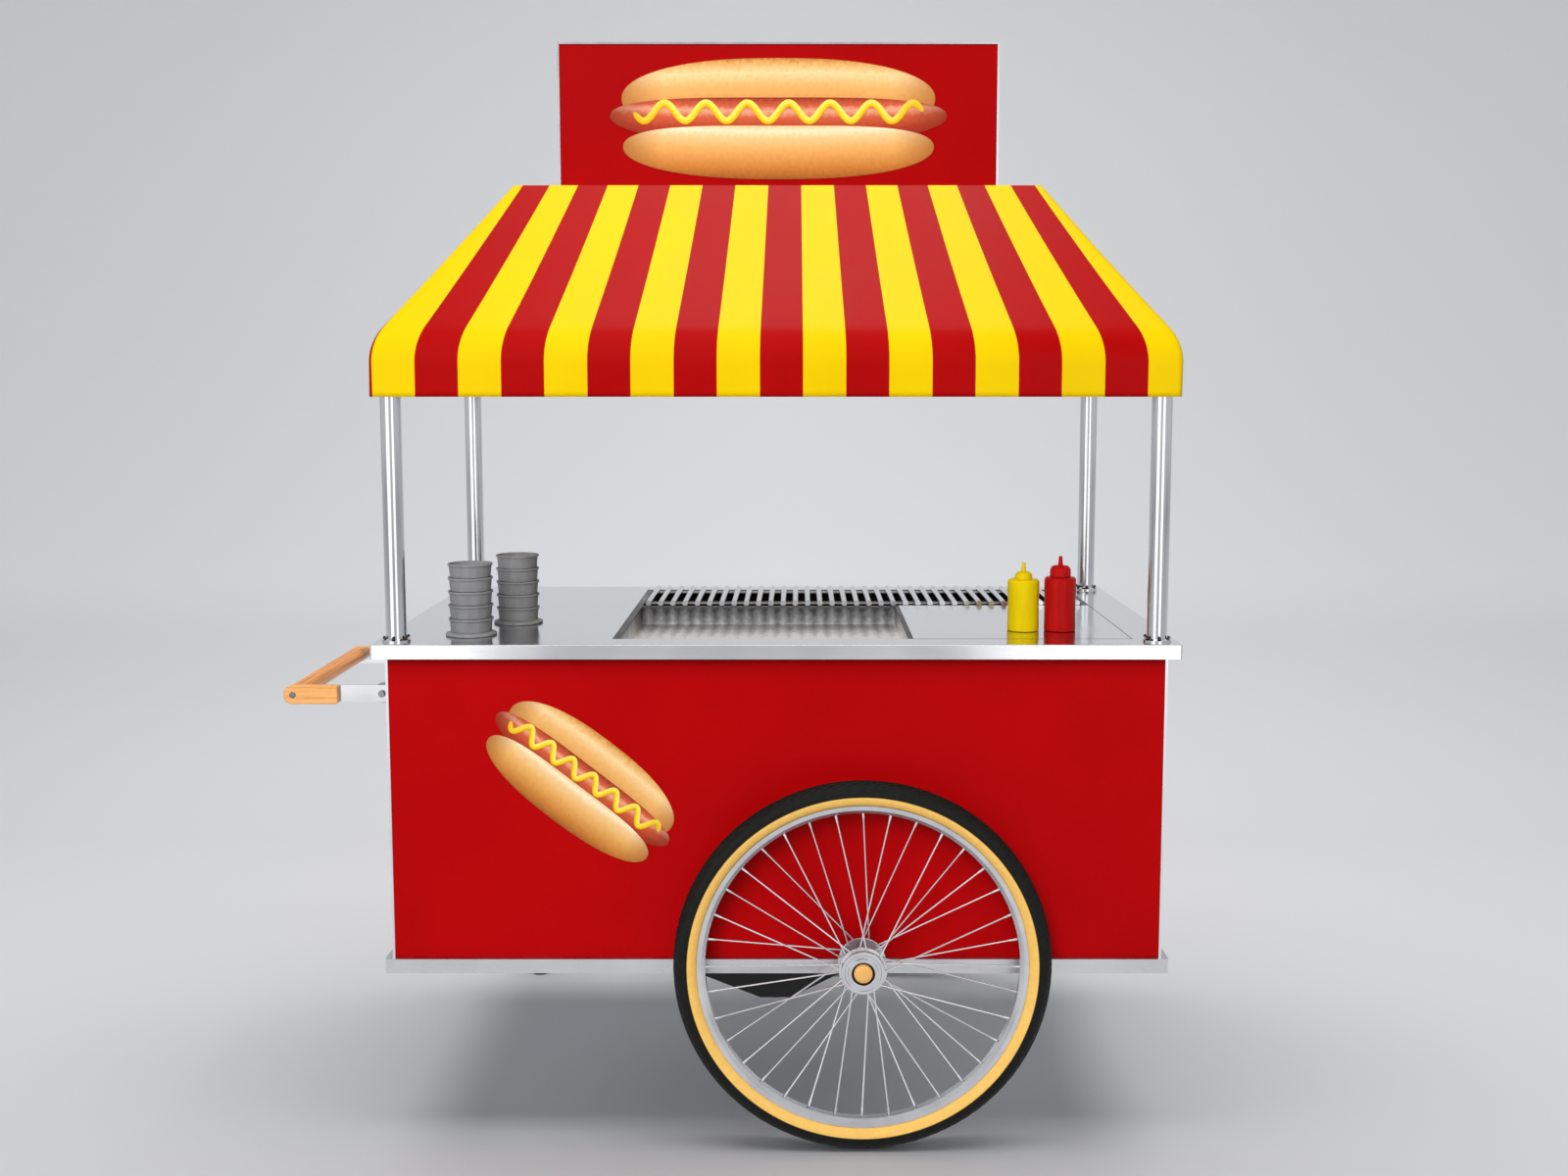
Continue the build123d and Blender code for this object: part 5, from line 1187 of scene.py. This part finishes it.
@dataclass
class SauceBottle:
    """Squeeze bottle turned from one profile, with a ribbed screw cap and a tapered nozzle."""

    kind: str
    slot: str
    finish: Finish
    hollow: float = 0.002  # of the bottom, inside the foot's ring
    waist: float = 0.975  # radius half way up, as a share of the largest
    neck: float = 0.45  # radius, as a share of the largest
    neck_height: float = 0.004
    socket: float = 0.5  # radius of the cap's hollow, as a share of the bottle's
    ribs: int = 28
    rib_depth: float = 0.0006
    rib_fade: float = 0.002
    rib_low: float = 0.001  # of the ribs above the cap's lower end
    rib_high: float = 0.005  # and below its shoulder
    nozzle: float = 0.018
    nozzle_radii: Triple = (0.0050, 0.0046, 0.0032)  # at its foot, just above and at the tip
    bore: float = 0.0018
    bore_depth: float = 0.010

    def bottle(self, r: float, low: float, top: float) -> np.ndarray:
        """Profile of the bottle from the middle of its bottom to the middle of its neck's top.

        Args:
            r: its largest radius.
            low: height of its foot.
            top: height of its shoulder.

        Returns:
            Pairs of radius and height.
        """
        neck = r * self.neck
        corners = [
            (0.0, low + self.hollow), (r * 0.72, low + self.hollow), (r * 0.8, low), (r, low),
            (r, low + 0.008), (r * 0.985, low + 0.02), (r * self.waist, low + 0.55 * (top - low)),
            (r, top - 0.022), (r, top - 0.004), (r * 0.9, top), (neck, top),
            (neck, top + self.neck_height), (0.0, top + self.neck_height),
        ]
        return soften(corners, 0.006)

    def cap(self, r: float, socket: float, low: float, tip: float) -> np.ndarray:
        """Profile of the cap from the middle of the neck's socket, round the skirt, to the nozzle's bore.

        Args:
            r: its largest radius.
            socket: radius of the neck's socket.
            low: height of its lower end.
            tip: height of the nozzle's tip.

        Returns:
            Pairs of radius and height.
        """
        top, ceiling, bottom = tip - self.nozzle, low + 1.5 * self.neck_height, tip - self.bore_depth
        foot, above, end = self.nozzle_radii
        corners = [
            (0.0, ceiling), (socket, ceiling), (socket, low), (r, low), (r, low + 0.55 * (top - low)),
            (r * 0.93, top - 0.004), (r * 0.7, top), (foot, top), (above, top + 0.003), (end, tip),
            (self.bore, tip), (self.bore, bottom), (0.0, bottom),
        ]
        return soften(corners, 0.003, 5)

    def ribbed(self, grid: np.ndarray, r: float, low: float, high: float) -> np.ndarray:
        """Draw the cap's side in by rib_depth (1 + cos(ribs a)) / 2, fading out at both ends of the ribs.

        Args:
            grid: the cap's points about its own axis.
            r: its largest radius.
            low: height of the ribs' lower ends.
            high: and of their upper ends.

        Returns:
            The points with the ribs.
        """
        z = grid[..., 2]
        on_side = np.clip((z - low) / self.rib_fade, 0, 1) * np.clip((high - z) / self.rib_fade, 0, 1)
        wave = 0.5 + 0.5 * np.cos(self.ribs * around(grid.shape[0])[:, None])
        shrink = 1.0 - self.rib_depth / r * on_side * wave
        return grid * np.stack([shrink, shrink, np.ones_like(shrink)], axis=-1)

    def build(self) -> None:
        """Make the bottle and its cap in the places of the model's."""
        low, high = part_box(f"{self.kind}_bottle")
        cap_low, cap_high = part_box(f"{self.kind}_cap")
        middle = (low + high) / 2
        centre = (middle.x, middle.y, 0.0)
        r, cap_r = (high.x - low.x) / 2, (cap_high.x - cap_low.x) / 2
        body = lathe(self.bottle(r, low.z, cap_low.z), 72, centre)
        made = MeshBuilder(f"{self.kind}_squeeze_body").add(body, wrap_u=True).build(self.finish, 60.0)
        finish_piece(made, self.kind, self.slot, f"{self.kind}_bottle")
        grid = lathe(self.cap(cap_r, r * self.socket, cap_low.z, cap_high.z), 4 * self.ribs)
        ends = cap_low.z + self.rib_low, cap_high.z - self.nozzle - self.rib_high
        grid = self.ribbed(grid, cap_r, *ends) + np.array(centre)
        made = MeshBuilder(f"{self.kind}_screw_cap").add(grid, wrap_u=True).build(self.finish, 50.0)
        finish_piece(made, self.kind, self.slot, f"{self.kind}_cap")


@dataclass
class TubStack:
    """Nested tubs on a base ring: tapered walls, rolled rims, the top one open."""

    side: str
    count: int = 5
    pitch: float = 0.026
    rim_radius: float = 0.0422
    foot_radius: float = 0.0380
    foot: float = 0.004
    bead: float = 0.004
    lip: float = 0.0028
    wall: float = 0.0022
    floor: float = 0.0016
    dish: float = 0.002  # how far a bottom bulges into the tub below
    edge: float = 0.0011
    ring_radius: float = 0.048
    ring_height: float = 0.007
    ring_ledge: float = 0.003
    ring_edge: float = 0.0015

    def build(self) -> None:
        """Turn each tub from one profile and stack copies of it."""
        low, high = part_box(f"{self.side}_tubs")
        middle = (low + high) / 2
        rr, rf, h = self.rim_radius, self.foot_radius, self.pitch
        shelf, hole, flat = h - self.bead, rf - self.foot, rf - self.foot - self.dish
        tub = soften([
            (0.0, -self.dish), (flat, -self.dish), (hole, 0.0), (rf, 0.0), (rr - self.wall, shelf),
            (rr, shelf), (rr, h), (rr - self.lip, h), (rf - self.wall, 1.5 * self.floor),
            (flat, self.floor), (0.0, self.floor),
        ], self.edge, 5)
        lift = np.arange(self.count)[:, None, None, None] * np.array([0.0, 0.0, h])
        stack = lathe(tub, 72, (middle.x, middle.y, low.z + self.ring_height))[None] + lift
        base = soften([
            (hole, 0.0), (self.ring_radius, 0.0), (self.ring_radius, self.ring_height * 0.6),
            (rf + self.ring_ledge, self.ring_height), (hole, self.ring_height), (hole, 0.0),
        ], self.ring_edge, 5)
        builder = MeshBuilder(f"{self.side}_tub_stack").add(stack, wrap_u=True)
        builder.add(lathe(base, 72, (middle.x, middle.y, low.z)), wrap_u=True)
        finish_piece(builder.build(GREY_PP, 50.0), f"tubs_{self.side}", "grey_plastic", f"{self.side}_tubs")


@dataclass
class HandleScrews:
    """Slotted pan-head screws in the outer faces of the wooden cheeks."""

    radius: float = 0.0066
    rise: float = 0.0032
    roundness: float = 2.6
    slot_width: float = 0.0014
    slot_depth: float = 0.0012
    slot_edge: float = 0.0004
    slot_across: Pair = (0.8, 0.6)
    sunk: float = 0.0001
    inset: float = 0.0185  # of the screw from the cheek's end

    def build(self) -> None:
        """A dome z = rise (1 - (r/R)^roundness), lowered along a slot, with a flat underside."""
        low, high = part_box("handle_cheeks")
        x, z = low.x + self.inset, (low.z + high.z) / 2
        r, a = np.append(np.linspace(0.0, 1.0, 22), 0.0)[None], around(64)[:, None]
        u, v = self.radius * r * np.cos(a), self.radius * r * np.sin(a)
        off = np.abs(u * self.slot_across[0] + v * self.slot_across[1])
        cut = self.slot_depth * np.clip((self.slot_width - off) / self.slot_edge, 0, 1)
        height = np.maximum(self.rise * (1.0 - r**self.roundness) - cut, -self.sunk)
        height[:, -1] = -self.sunk
        builder = MeshBuilder("sleeve_screws")
        for face, way in ((low.y, -1.0), (high.y, 1.0)):
            builder.add(np.stack([x + u, face + way * height, z + v], axis=-1), wrap_u=True)
        finish_piece(builder.build(ZINC_STEEL, smooth_deg=40.0), "handle", "plain_steel")


@dataclass
class RingScrews:
    """Round-head screws that hold the posts' base rings down."""

    per_ring: int = 6
    radius: float = 0.0034
    rise: float = 0.005

    def build(self) -> None:
        """Turn one head, z = rise (1 - (r/R)^3) over a flat underside, and set copies round each post."""
        low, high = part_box("canopy_posts")
        ring_low, ring_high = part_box("post_rings")
        r = np.linspace(0.0, self.radius, 7)
        dome = np.stack([r, self.rise * (1.0 - (r / self.radius) ** 3)], axis=-1)
        profile = np.vstack([dome, (0.0, 0.0)])
        turn = around(self.per_ring) + np.pi / self.per_ring
        ring = np.stack([np.cos(turn), np.sin(turn)], axis=-1) * (POST_RADIUS + (low.x - ring_low.x) / 2)
        left, right = low.x + POST_RADIUS, high.x - POST_RADIUS
        front, rear = low.y + POST_RADIUS, high.y - POST_RADIUS
        corners = np.array([(left, front), (right, front), (left, rear), (right, rear)])
        spots = (corners[:, None] + ring[None]).reshape(-1, 2)
        places = np.column_stack([spots, np.full(len(spots), ring_high.z)])
        heads = lathe(profile, 16)[None] + places[:, None, None]
        made = MeshBuilder("ring_screws").add(heads, wrap_u=True).build(SCREW_STEEL, smooth_deg=60.0)
        finish_piece(made, "cart", "plain_steel")


@dataclass
class PrintedArt:
    """Vinyl print on a board that faces -Y: a plain sausage in a bun with a wavy line of mustard."""

    name: str
    x: float
    y: float
    z: float
    length: float
    plump: float = 1.0
    tilt_deg: float = 0.0
    film: float = 0.0004
    blunt: Pair = (0.72, 0.9)  # powers of the long shapes, along and across
    rear_tones: Stops = (
        (0.0, "B56C2A"), (0.3, "D98F45"), (0.62, "F1B76C"),
        (0.8, "FBD79C"), (0.93, "E9AC60"), (1.0, "C67F38"),
    )
    meat_tones: Stops = (
        (0.0, "7F2412"), (0.3, "B23A20"), (0.55, "D2603C"),
        (0.7, "F2A98A"), (0.8, "D4603E"), (1.0, "96301A"),
    )
    front_tones: Stops = (
        (0.0, "9E5A22"), (0.22, "CC8238"), (0.55, "EDB164"),
        (0.78, "F7CF93"), (0.9, "FDEBC6"), (1.0, "F0C98C"),
    )
    mustard_tones: Stops = ((0.0, "DCA600"), (0.4, "FFD81A"), (0.8, "FFEC73"), (1.0, "FFE24A"))

    def show(
        self, part: str, layer: int, u: np.ndarray, v: np.ndarray, uv: np.ndarray, wrap: bool, ink: PrintInk
    ) -> None:
        """Turn one flat shape by the tilt, lay it on the board and print it.

        Args:
            part: its name.
            layer: how many films nearer to the eye than the board.
            u: place along the print.
            v: place up the print.
            uv: the ink's coordinates for each point.
            wrap: whether the shape's first direction closes on itself.
            ink: what it is printed with.
        """
        t = math.radians(self.tilt_deg)
        x, z = u * math.cos(t) - v * math.sin(t), u * math.sin(t) + v * math.cos(t)
        grid = np.stack([self.x + x, np.full_like(x, self.y - self.film * layer), self.z + z], axis=-1)
        builder = MeshBuilder(f"{self.name}_{part}").add(grid, wrap_u=wrap, uv=quad_corners(uv, wrap_u=wrap))
        finish_piece(builder.build(ink, smooth_deg=80.0), "cart", "red_paint")

    def oval(self, part: str, layer: int, size: Sequence[float], bands: Stops, edge: str) -> None:
        """Print a long rounded shape.

        It reaches half sgn(c) |c|^p along and width sgn(s) |s|^q up, where c and s are the angle's cosine
        and sine and p and q the two powers in blunt.

        Args:
            part: its name.
            layer: how many films up.
            size: half its length, half its height, the lift of its middle line, and how much higher
                that line is in the middle than at the ends.
            bands: the ink's tones across it.
            edge: the ink's tone at its ends.
        """
        half, width, lift, bend = size
        a = around(120)[:, None]
        r = np.linspace(0.0, 1.0, 9)[None]
        c, s = np.cos(a), np.sin(a)
        u = half * np.sign(c) * np.abs(c) ** self.blunt[0] * r
        v = width * np.sign(s) * np.abs(s) ** self.blunt[1] * r
        uv = np.stack([(u / half + 1) / 2, (v / width + 1) / 2], axis=-1)
        ink = PrintInk(f"{part} ink", bands, edge)
        self.show(part, layer, u, v + bend * (1 - (u / half) ** 2) + lift, uv, True, ink)

    def wave(self, part: str, layer: int, size: Sequence[float], turns: int) -> None:
        """Print a wavy line v = height sin(pi turns s) for s from -1 to 1, with round ends.

        Args:
            part: its name.
            layer: how many films up.
            size: half its length, the height of its waves, half its width and its middle line's lift.
            turns: full waves along it.
        """
        half, height, width, lift = size
        s = np.linspace(-1.0, 1.0, 181)[:, None]
        e = np.linspace(-1.0, 1.0, 5)[None]
        body = width * np.sqrt(np.clip(1 - np.abs(s) ** 40, 0.0004, 1))
        slope = np.pi * turns * height / half * np.cos(np.pi * turns * s)
        scale = np.sqrt(1 + slope**2)
        u = half * s - e * body * slope / scale
        v = height * np.sin(np.pi * turns * s) + e * body / scale + lift
        uv = np.stack([(s + 1) / 2 + 0 * e, (e + 1) / 2 + 0 * s], axis=-1)
        self.show(part, layer, u, v, uv, False, PrintInk(f"{part} ink", self.mustard_tones, "E8B400"))

    def build(self) -> None:
        """Print the rear half of the bun, the sausage, the front half and the mustard, one over the other."""
        shape = np.array([self.length] + 3 * [self.length * self.plump])
        self.oval("rear_bun", 1, shape * (0.465, 0.1, 0.056, 0.018), self.rear_tones, "A8622A")
        self.oval("sausage", 2, shape * (0.5, 0.066, 0.006, -0.012), self.meat_tones, "7A2010")
        self.oval("front_bun", 3, shape * (0.462, 0.078, -0.084, -0.016), self.front_tones, "9A5824")
        self.wave("mustard", 4, shape * (0.43, 0.026, 0.0105, 0.018), 7)


@dataclass
class PhotoCamera:
    """The photograph's view: level sideways, pitched down, with the frame shifted off the lens's axis."""

    place: Triple = (0.151, -3.347, 1.4246)
    pitch_deg: float = 6.0
    focal_px: float = 1650.0
    axis_px: Pair = (815.0, 563.0)
    frame_px: Pair = (1600.0, 1200.0)
    sensor_mm: float = 36.0
    clip_end: float = 100.0

    def build(self) -> None:
        """Make the camera and set it as the scene's."""
        data = bpy.data.cameras.new("photo_camera")
        wide, tall = self.frame_px
        data.sensor_width = self.sensor_mm
        data.lens = self.focal_px / wide * self.sensor_mm
        data.shift_x = (wide / 2 - self.axis_px[0]) / wide
        data.shift_y = (self.axis_px[1] - tall / 2) / wide
        data.clip_end = self.clip_end
        camera = bpy.data.objects.new("photo_camera", data)
        camera.location = self.place
        camera.rotation_euler = (math.radians(90.0 - self.pitch_deg), 0.0, 0.0)
        bpy.context.scene.collection.objects.link(camera)
        bpy.context.scene.camera = camera


class Lights(Enum):
    """What a lamp lights."""

    CART = "cart"
    FLOOR = "floor"
    METAL = "metal"
    CLOTH = "cloth"


@dataclass(frozen=True)
class Lamp:
    """One soft lamp that looks at a point."""

    name: str
    watts: float
    place: Triple
    size: Pair
    aim: Triple = (0.1, 0.0, 1.0)
    lights: Lights = Lights.CART
    mirrored: bool = False  # whether polished surfaces show it

    def build(self, floor: Object, cloth: Object) -> None:
        """Make the lamp, which the camera never sees.

        Args:
            floor: the sheet that a lamp can leave out, or light alone.
            cloth: the sheet on which a lamp can give the sheen.
        """
        data = bpy.data.lights.new(self.name, "AREA")
        data.shape = "RECTANGLE"
        data.energy = self.watts
        data.size, data.size_y = self.size
        made = bpy.data.objects.new(self.name, data)
        made.location = self.place
        made.rotation_euler = (Vector(self.aim) - Vector(self.place)).to_track_quat("-Z", "Y").to_euler()
        made.visible_camera = False
        made.visible_diffuse = self.lights in (Lights.CART, Lights.FLOOR)
        made.visible_glossy = self.mirrored
        if self.lights is not Lights.METAL:
            chosen = bpy.data.collections.new(f"{self.name}_receivers")
            chosen.objects.link(cloth if self.lights is Lights.CLOTH else floor)
            state = "EXCLUDE" if self.lights is Lights.CART else "INCLUDE"
            chosen.collection_objects[0].light_linking.link_state = state
            made.light_linking.receiver_collection = chosen
        bpy.context.scene.collection.objects.link(made)


@dataclass
class Studio:
    """Pale sweep of floor and wall, soft lamps, two tall panels for the metal to mirror, and an even sky."""

    half_width: float = 24.0
    front: float = -12.0
    wall: float = 9.0
    sweep: float = 3.0
    height: float = 9.0
    sky_colour: str = "F4F5F7"
    sky: float = 0.26
    sky_in_metal: float = 0.8
    sky_in_view: float = 0.58
    lamps: tuple[Lamp, ...] = (
        Lamp("top_lamp", 66.0, (0.1, -0.4, 5.4), (2.6, 2.6), (0.1, -0.1, 0.0), mirrored=True),
        Lamp("front_lamp", 160.0, (-0.9, -5.0, 3.1), (2.2, 2.2)),
        Lamp("high_lamp", 64.0, (-0.6, -3.4, 4.6), (1.8, 1.8)),
        Lamp("rear_lamp", 110.0, (0.6, 5.0, 3.2), (2.4, 2.4)),
        Lamp("sheen_lamp", 46.0, (0.2, -0.7, 5.0), (1.8, 0.9), (0.1, -0.3, 1.8), Lights.CLOTH, mirrored=True),
        Lamp("floor_lamp", 340.0, (0.2, 0.4, 6.4), (7.6, 5.4), (0.2, -0.3, 0.0), Lights.FLOOR),
        Lamp("left_panel", 36.0, (-2.6, -4.4, 1.6), (3.0, 3.2), (0.0, 0.0, 1.6), Lights.METAL, mirrored=True),
        Lamp("right_panel", 26.0, (2.0, -5.0, 1.6), (2.0, 3.2), (0.2, 0.0, 1.6), Lights.METAL, mirrored=True),
    )

    def floor_sheet(self) -> Object:
        """The floor runs back, turns up on a quarter arc and rises: one profile carried along X.

        Returns:
            The sweep's object.
        """
        turn = np.linspace(0.0, np.pi / 2, 24)
        y = np.concatenate([[self.front], self.wall - self.sweep + self.sweep * np.sin(turn), [self.wall]])
        z = np.concatenate([[0.0], self.sweep * (1 - np.cos(turn)), [self.height]])
        x = np.linspace(-self.half_width, self.half_width, 9)[:, None]
        grid = np.stack([x + 0 * y, 0 * x + y, 0 * x + z], axis=-1)
        made = MeshBuilder("studio_floor").add(grid).build(StudioPaper("matt studio paper"), smooth_deg=60.0)
        return made

    def sky_dome(self) -> None:
        """An even sky, brighter where polished metal mirrors it and where it is seen past the sweep."""
        world = bpy.data.worlds.new("studio_sky")
        world.use_nodes = True
        tree = world.node_tree
        tree.nodes.clear()
        rays = add_node(tree, "ShaderNodeLightPath").outputs
        mirrored = Finish.spread(tree, rays["Is Glossy Ray"], self.sky, self.sky_in_metal, (0.0, 1.0))
        seen = {"Factor": rays["Is Camera Ray"], "A": mirrored, "B": self.sky_in_view}
        strength = add_node(tree, "ShaderNodeMix", {"data_type": "FLOAT"}, seen).outputs["Result"]
        inputs = {"Color": linear(self.sky_colour), "Strength": strength}
        sky = add_node(tree, "ShaderNodeBackground", inputs=inputs).outputs[0]
        add_node(tree, "ShaderNodeOutputWorld", inputs={"Surface": sky})
        bpy.context.scene.world = world

    def build(self, cloth: Object) -> None:
        """Make the sweep, the lamps and the sky.

        Args:
            cloth: the canopy's sheet.
        """
        floor = self.floor_sheet()
        self.sky_dome()
        for lamp in self.lamps:
            lamp.build(floor, cloth)
        bpy.context.scene.view_settings.view_transform = "Standard"


def dress_frame(frame: dict[str, Any]) -> None:
    """Give every node of the model its finish.
    """
    for finish, names in CAD_FINISHES.items():
        for name in names:
            mesh = frame["nodes"][name].data
            mesh.materials.clear()
            mesh.materials.append(finish.material())
    LOG.info("%d nodes dressed", len(frame["nodes"]))


def main() -> None:
    """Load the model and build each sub-assembly on it."""
    logging.basicConfig(level=logging.INFO, format="%(name)s: %(message)s")
    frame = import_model()
    dress_frame(frame)
    cloth = Canopy().build()
    Wheel("front", -1.0).build()
    Wheel("rear", 1.0).build()
    SauceBottle("mustard", "yellow_plastic", YELLOW_PE).build()
    SauceBottle("ketchup", "red_plastic", RED_PE).build()
    TubStack("left").build()
    TubStack("right").build()
    HandleScrews().build()
    RingScrews().build()
    low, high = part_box("sign_board")
    middle = (low + high) / 2
    PrintedArt("sign", middle.x, low.y - PRINT_GAP, middle.z, length=0.68).build()
    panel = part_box("front_panel")[0]
    PrintedArt("panel", -0.253, panel.y - PRINT_GAP, 0.686, length=0.40, plump=1.3, tilt_deg=-38.0).build()
    PhotoCamera().build()
    Studio().build(cloth)


if __name__ == "__main__":
    main()
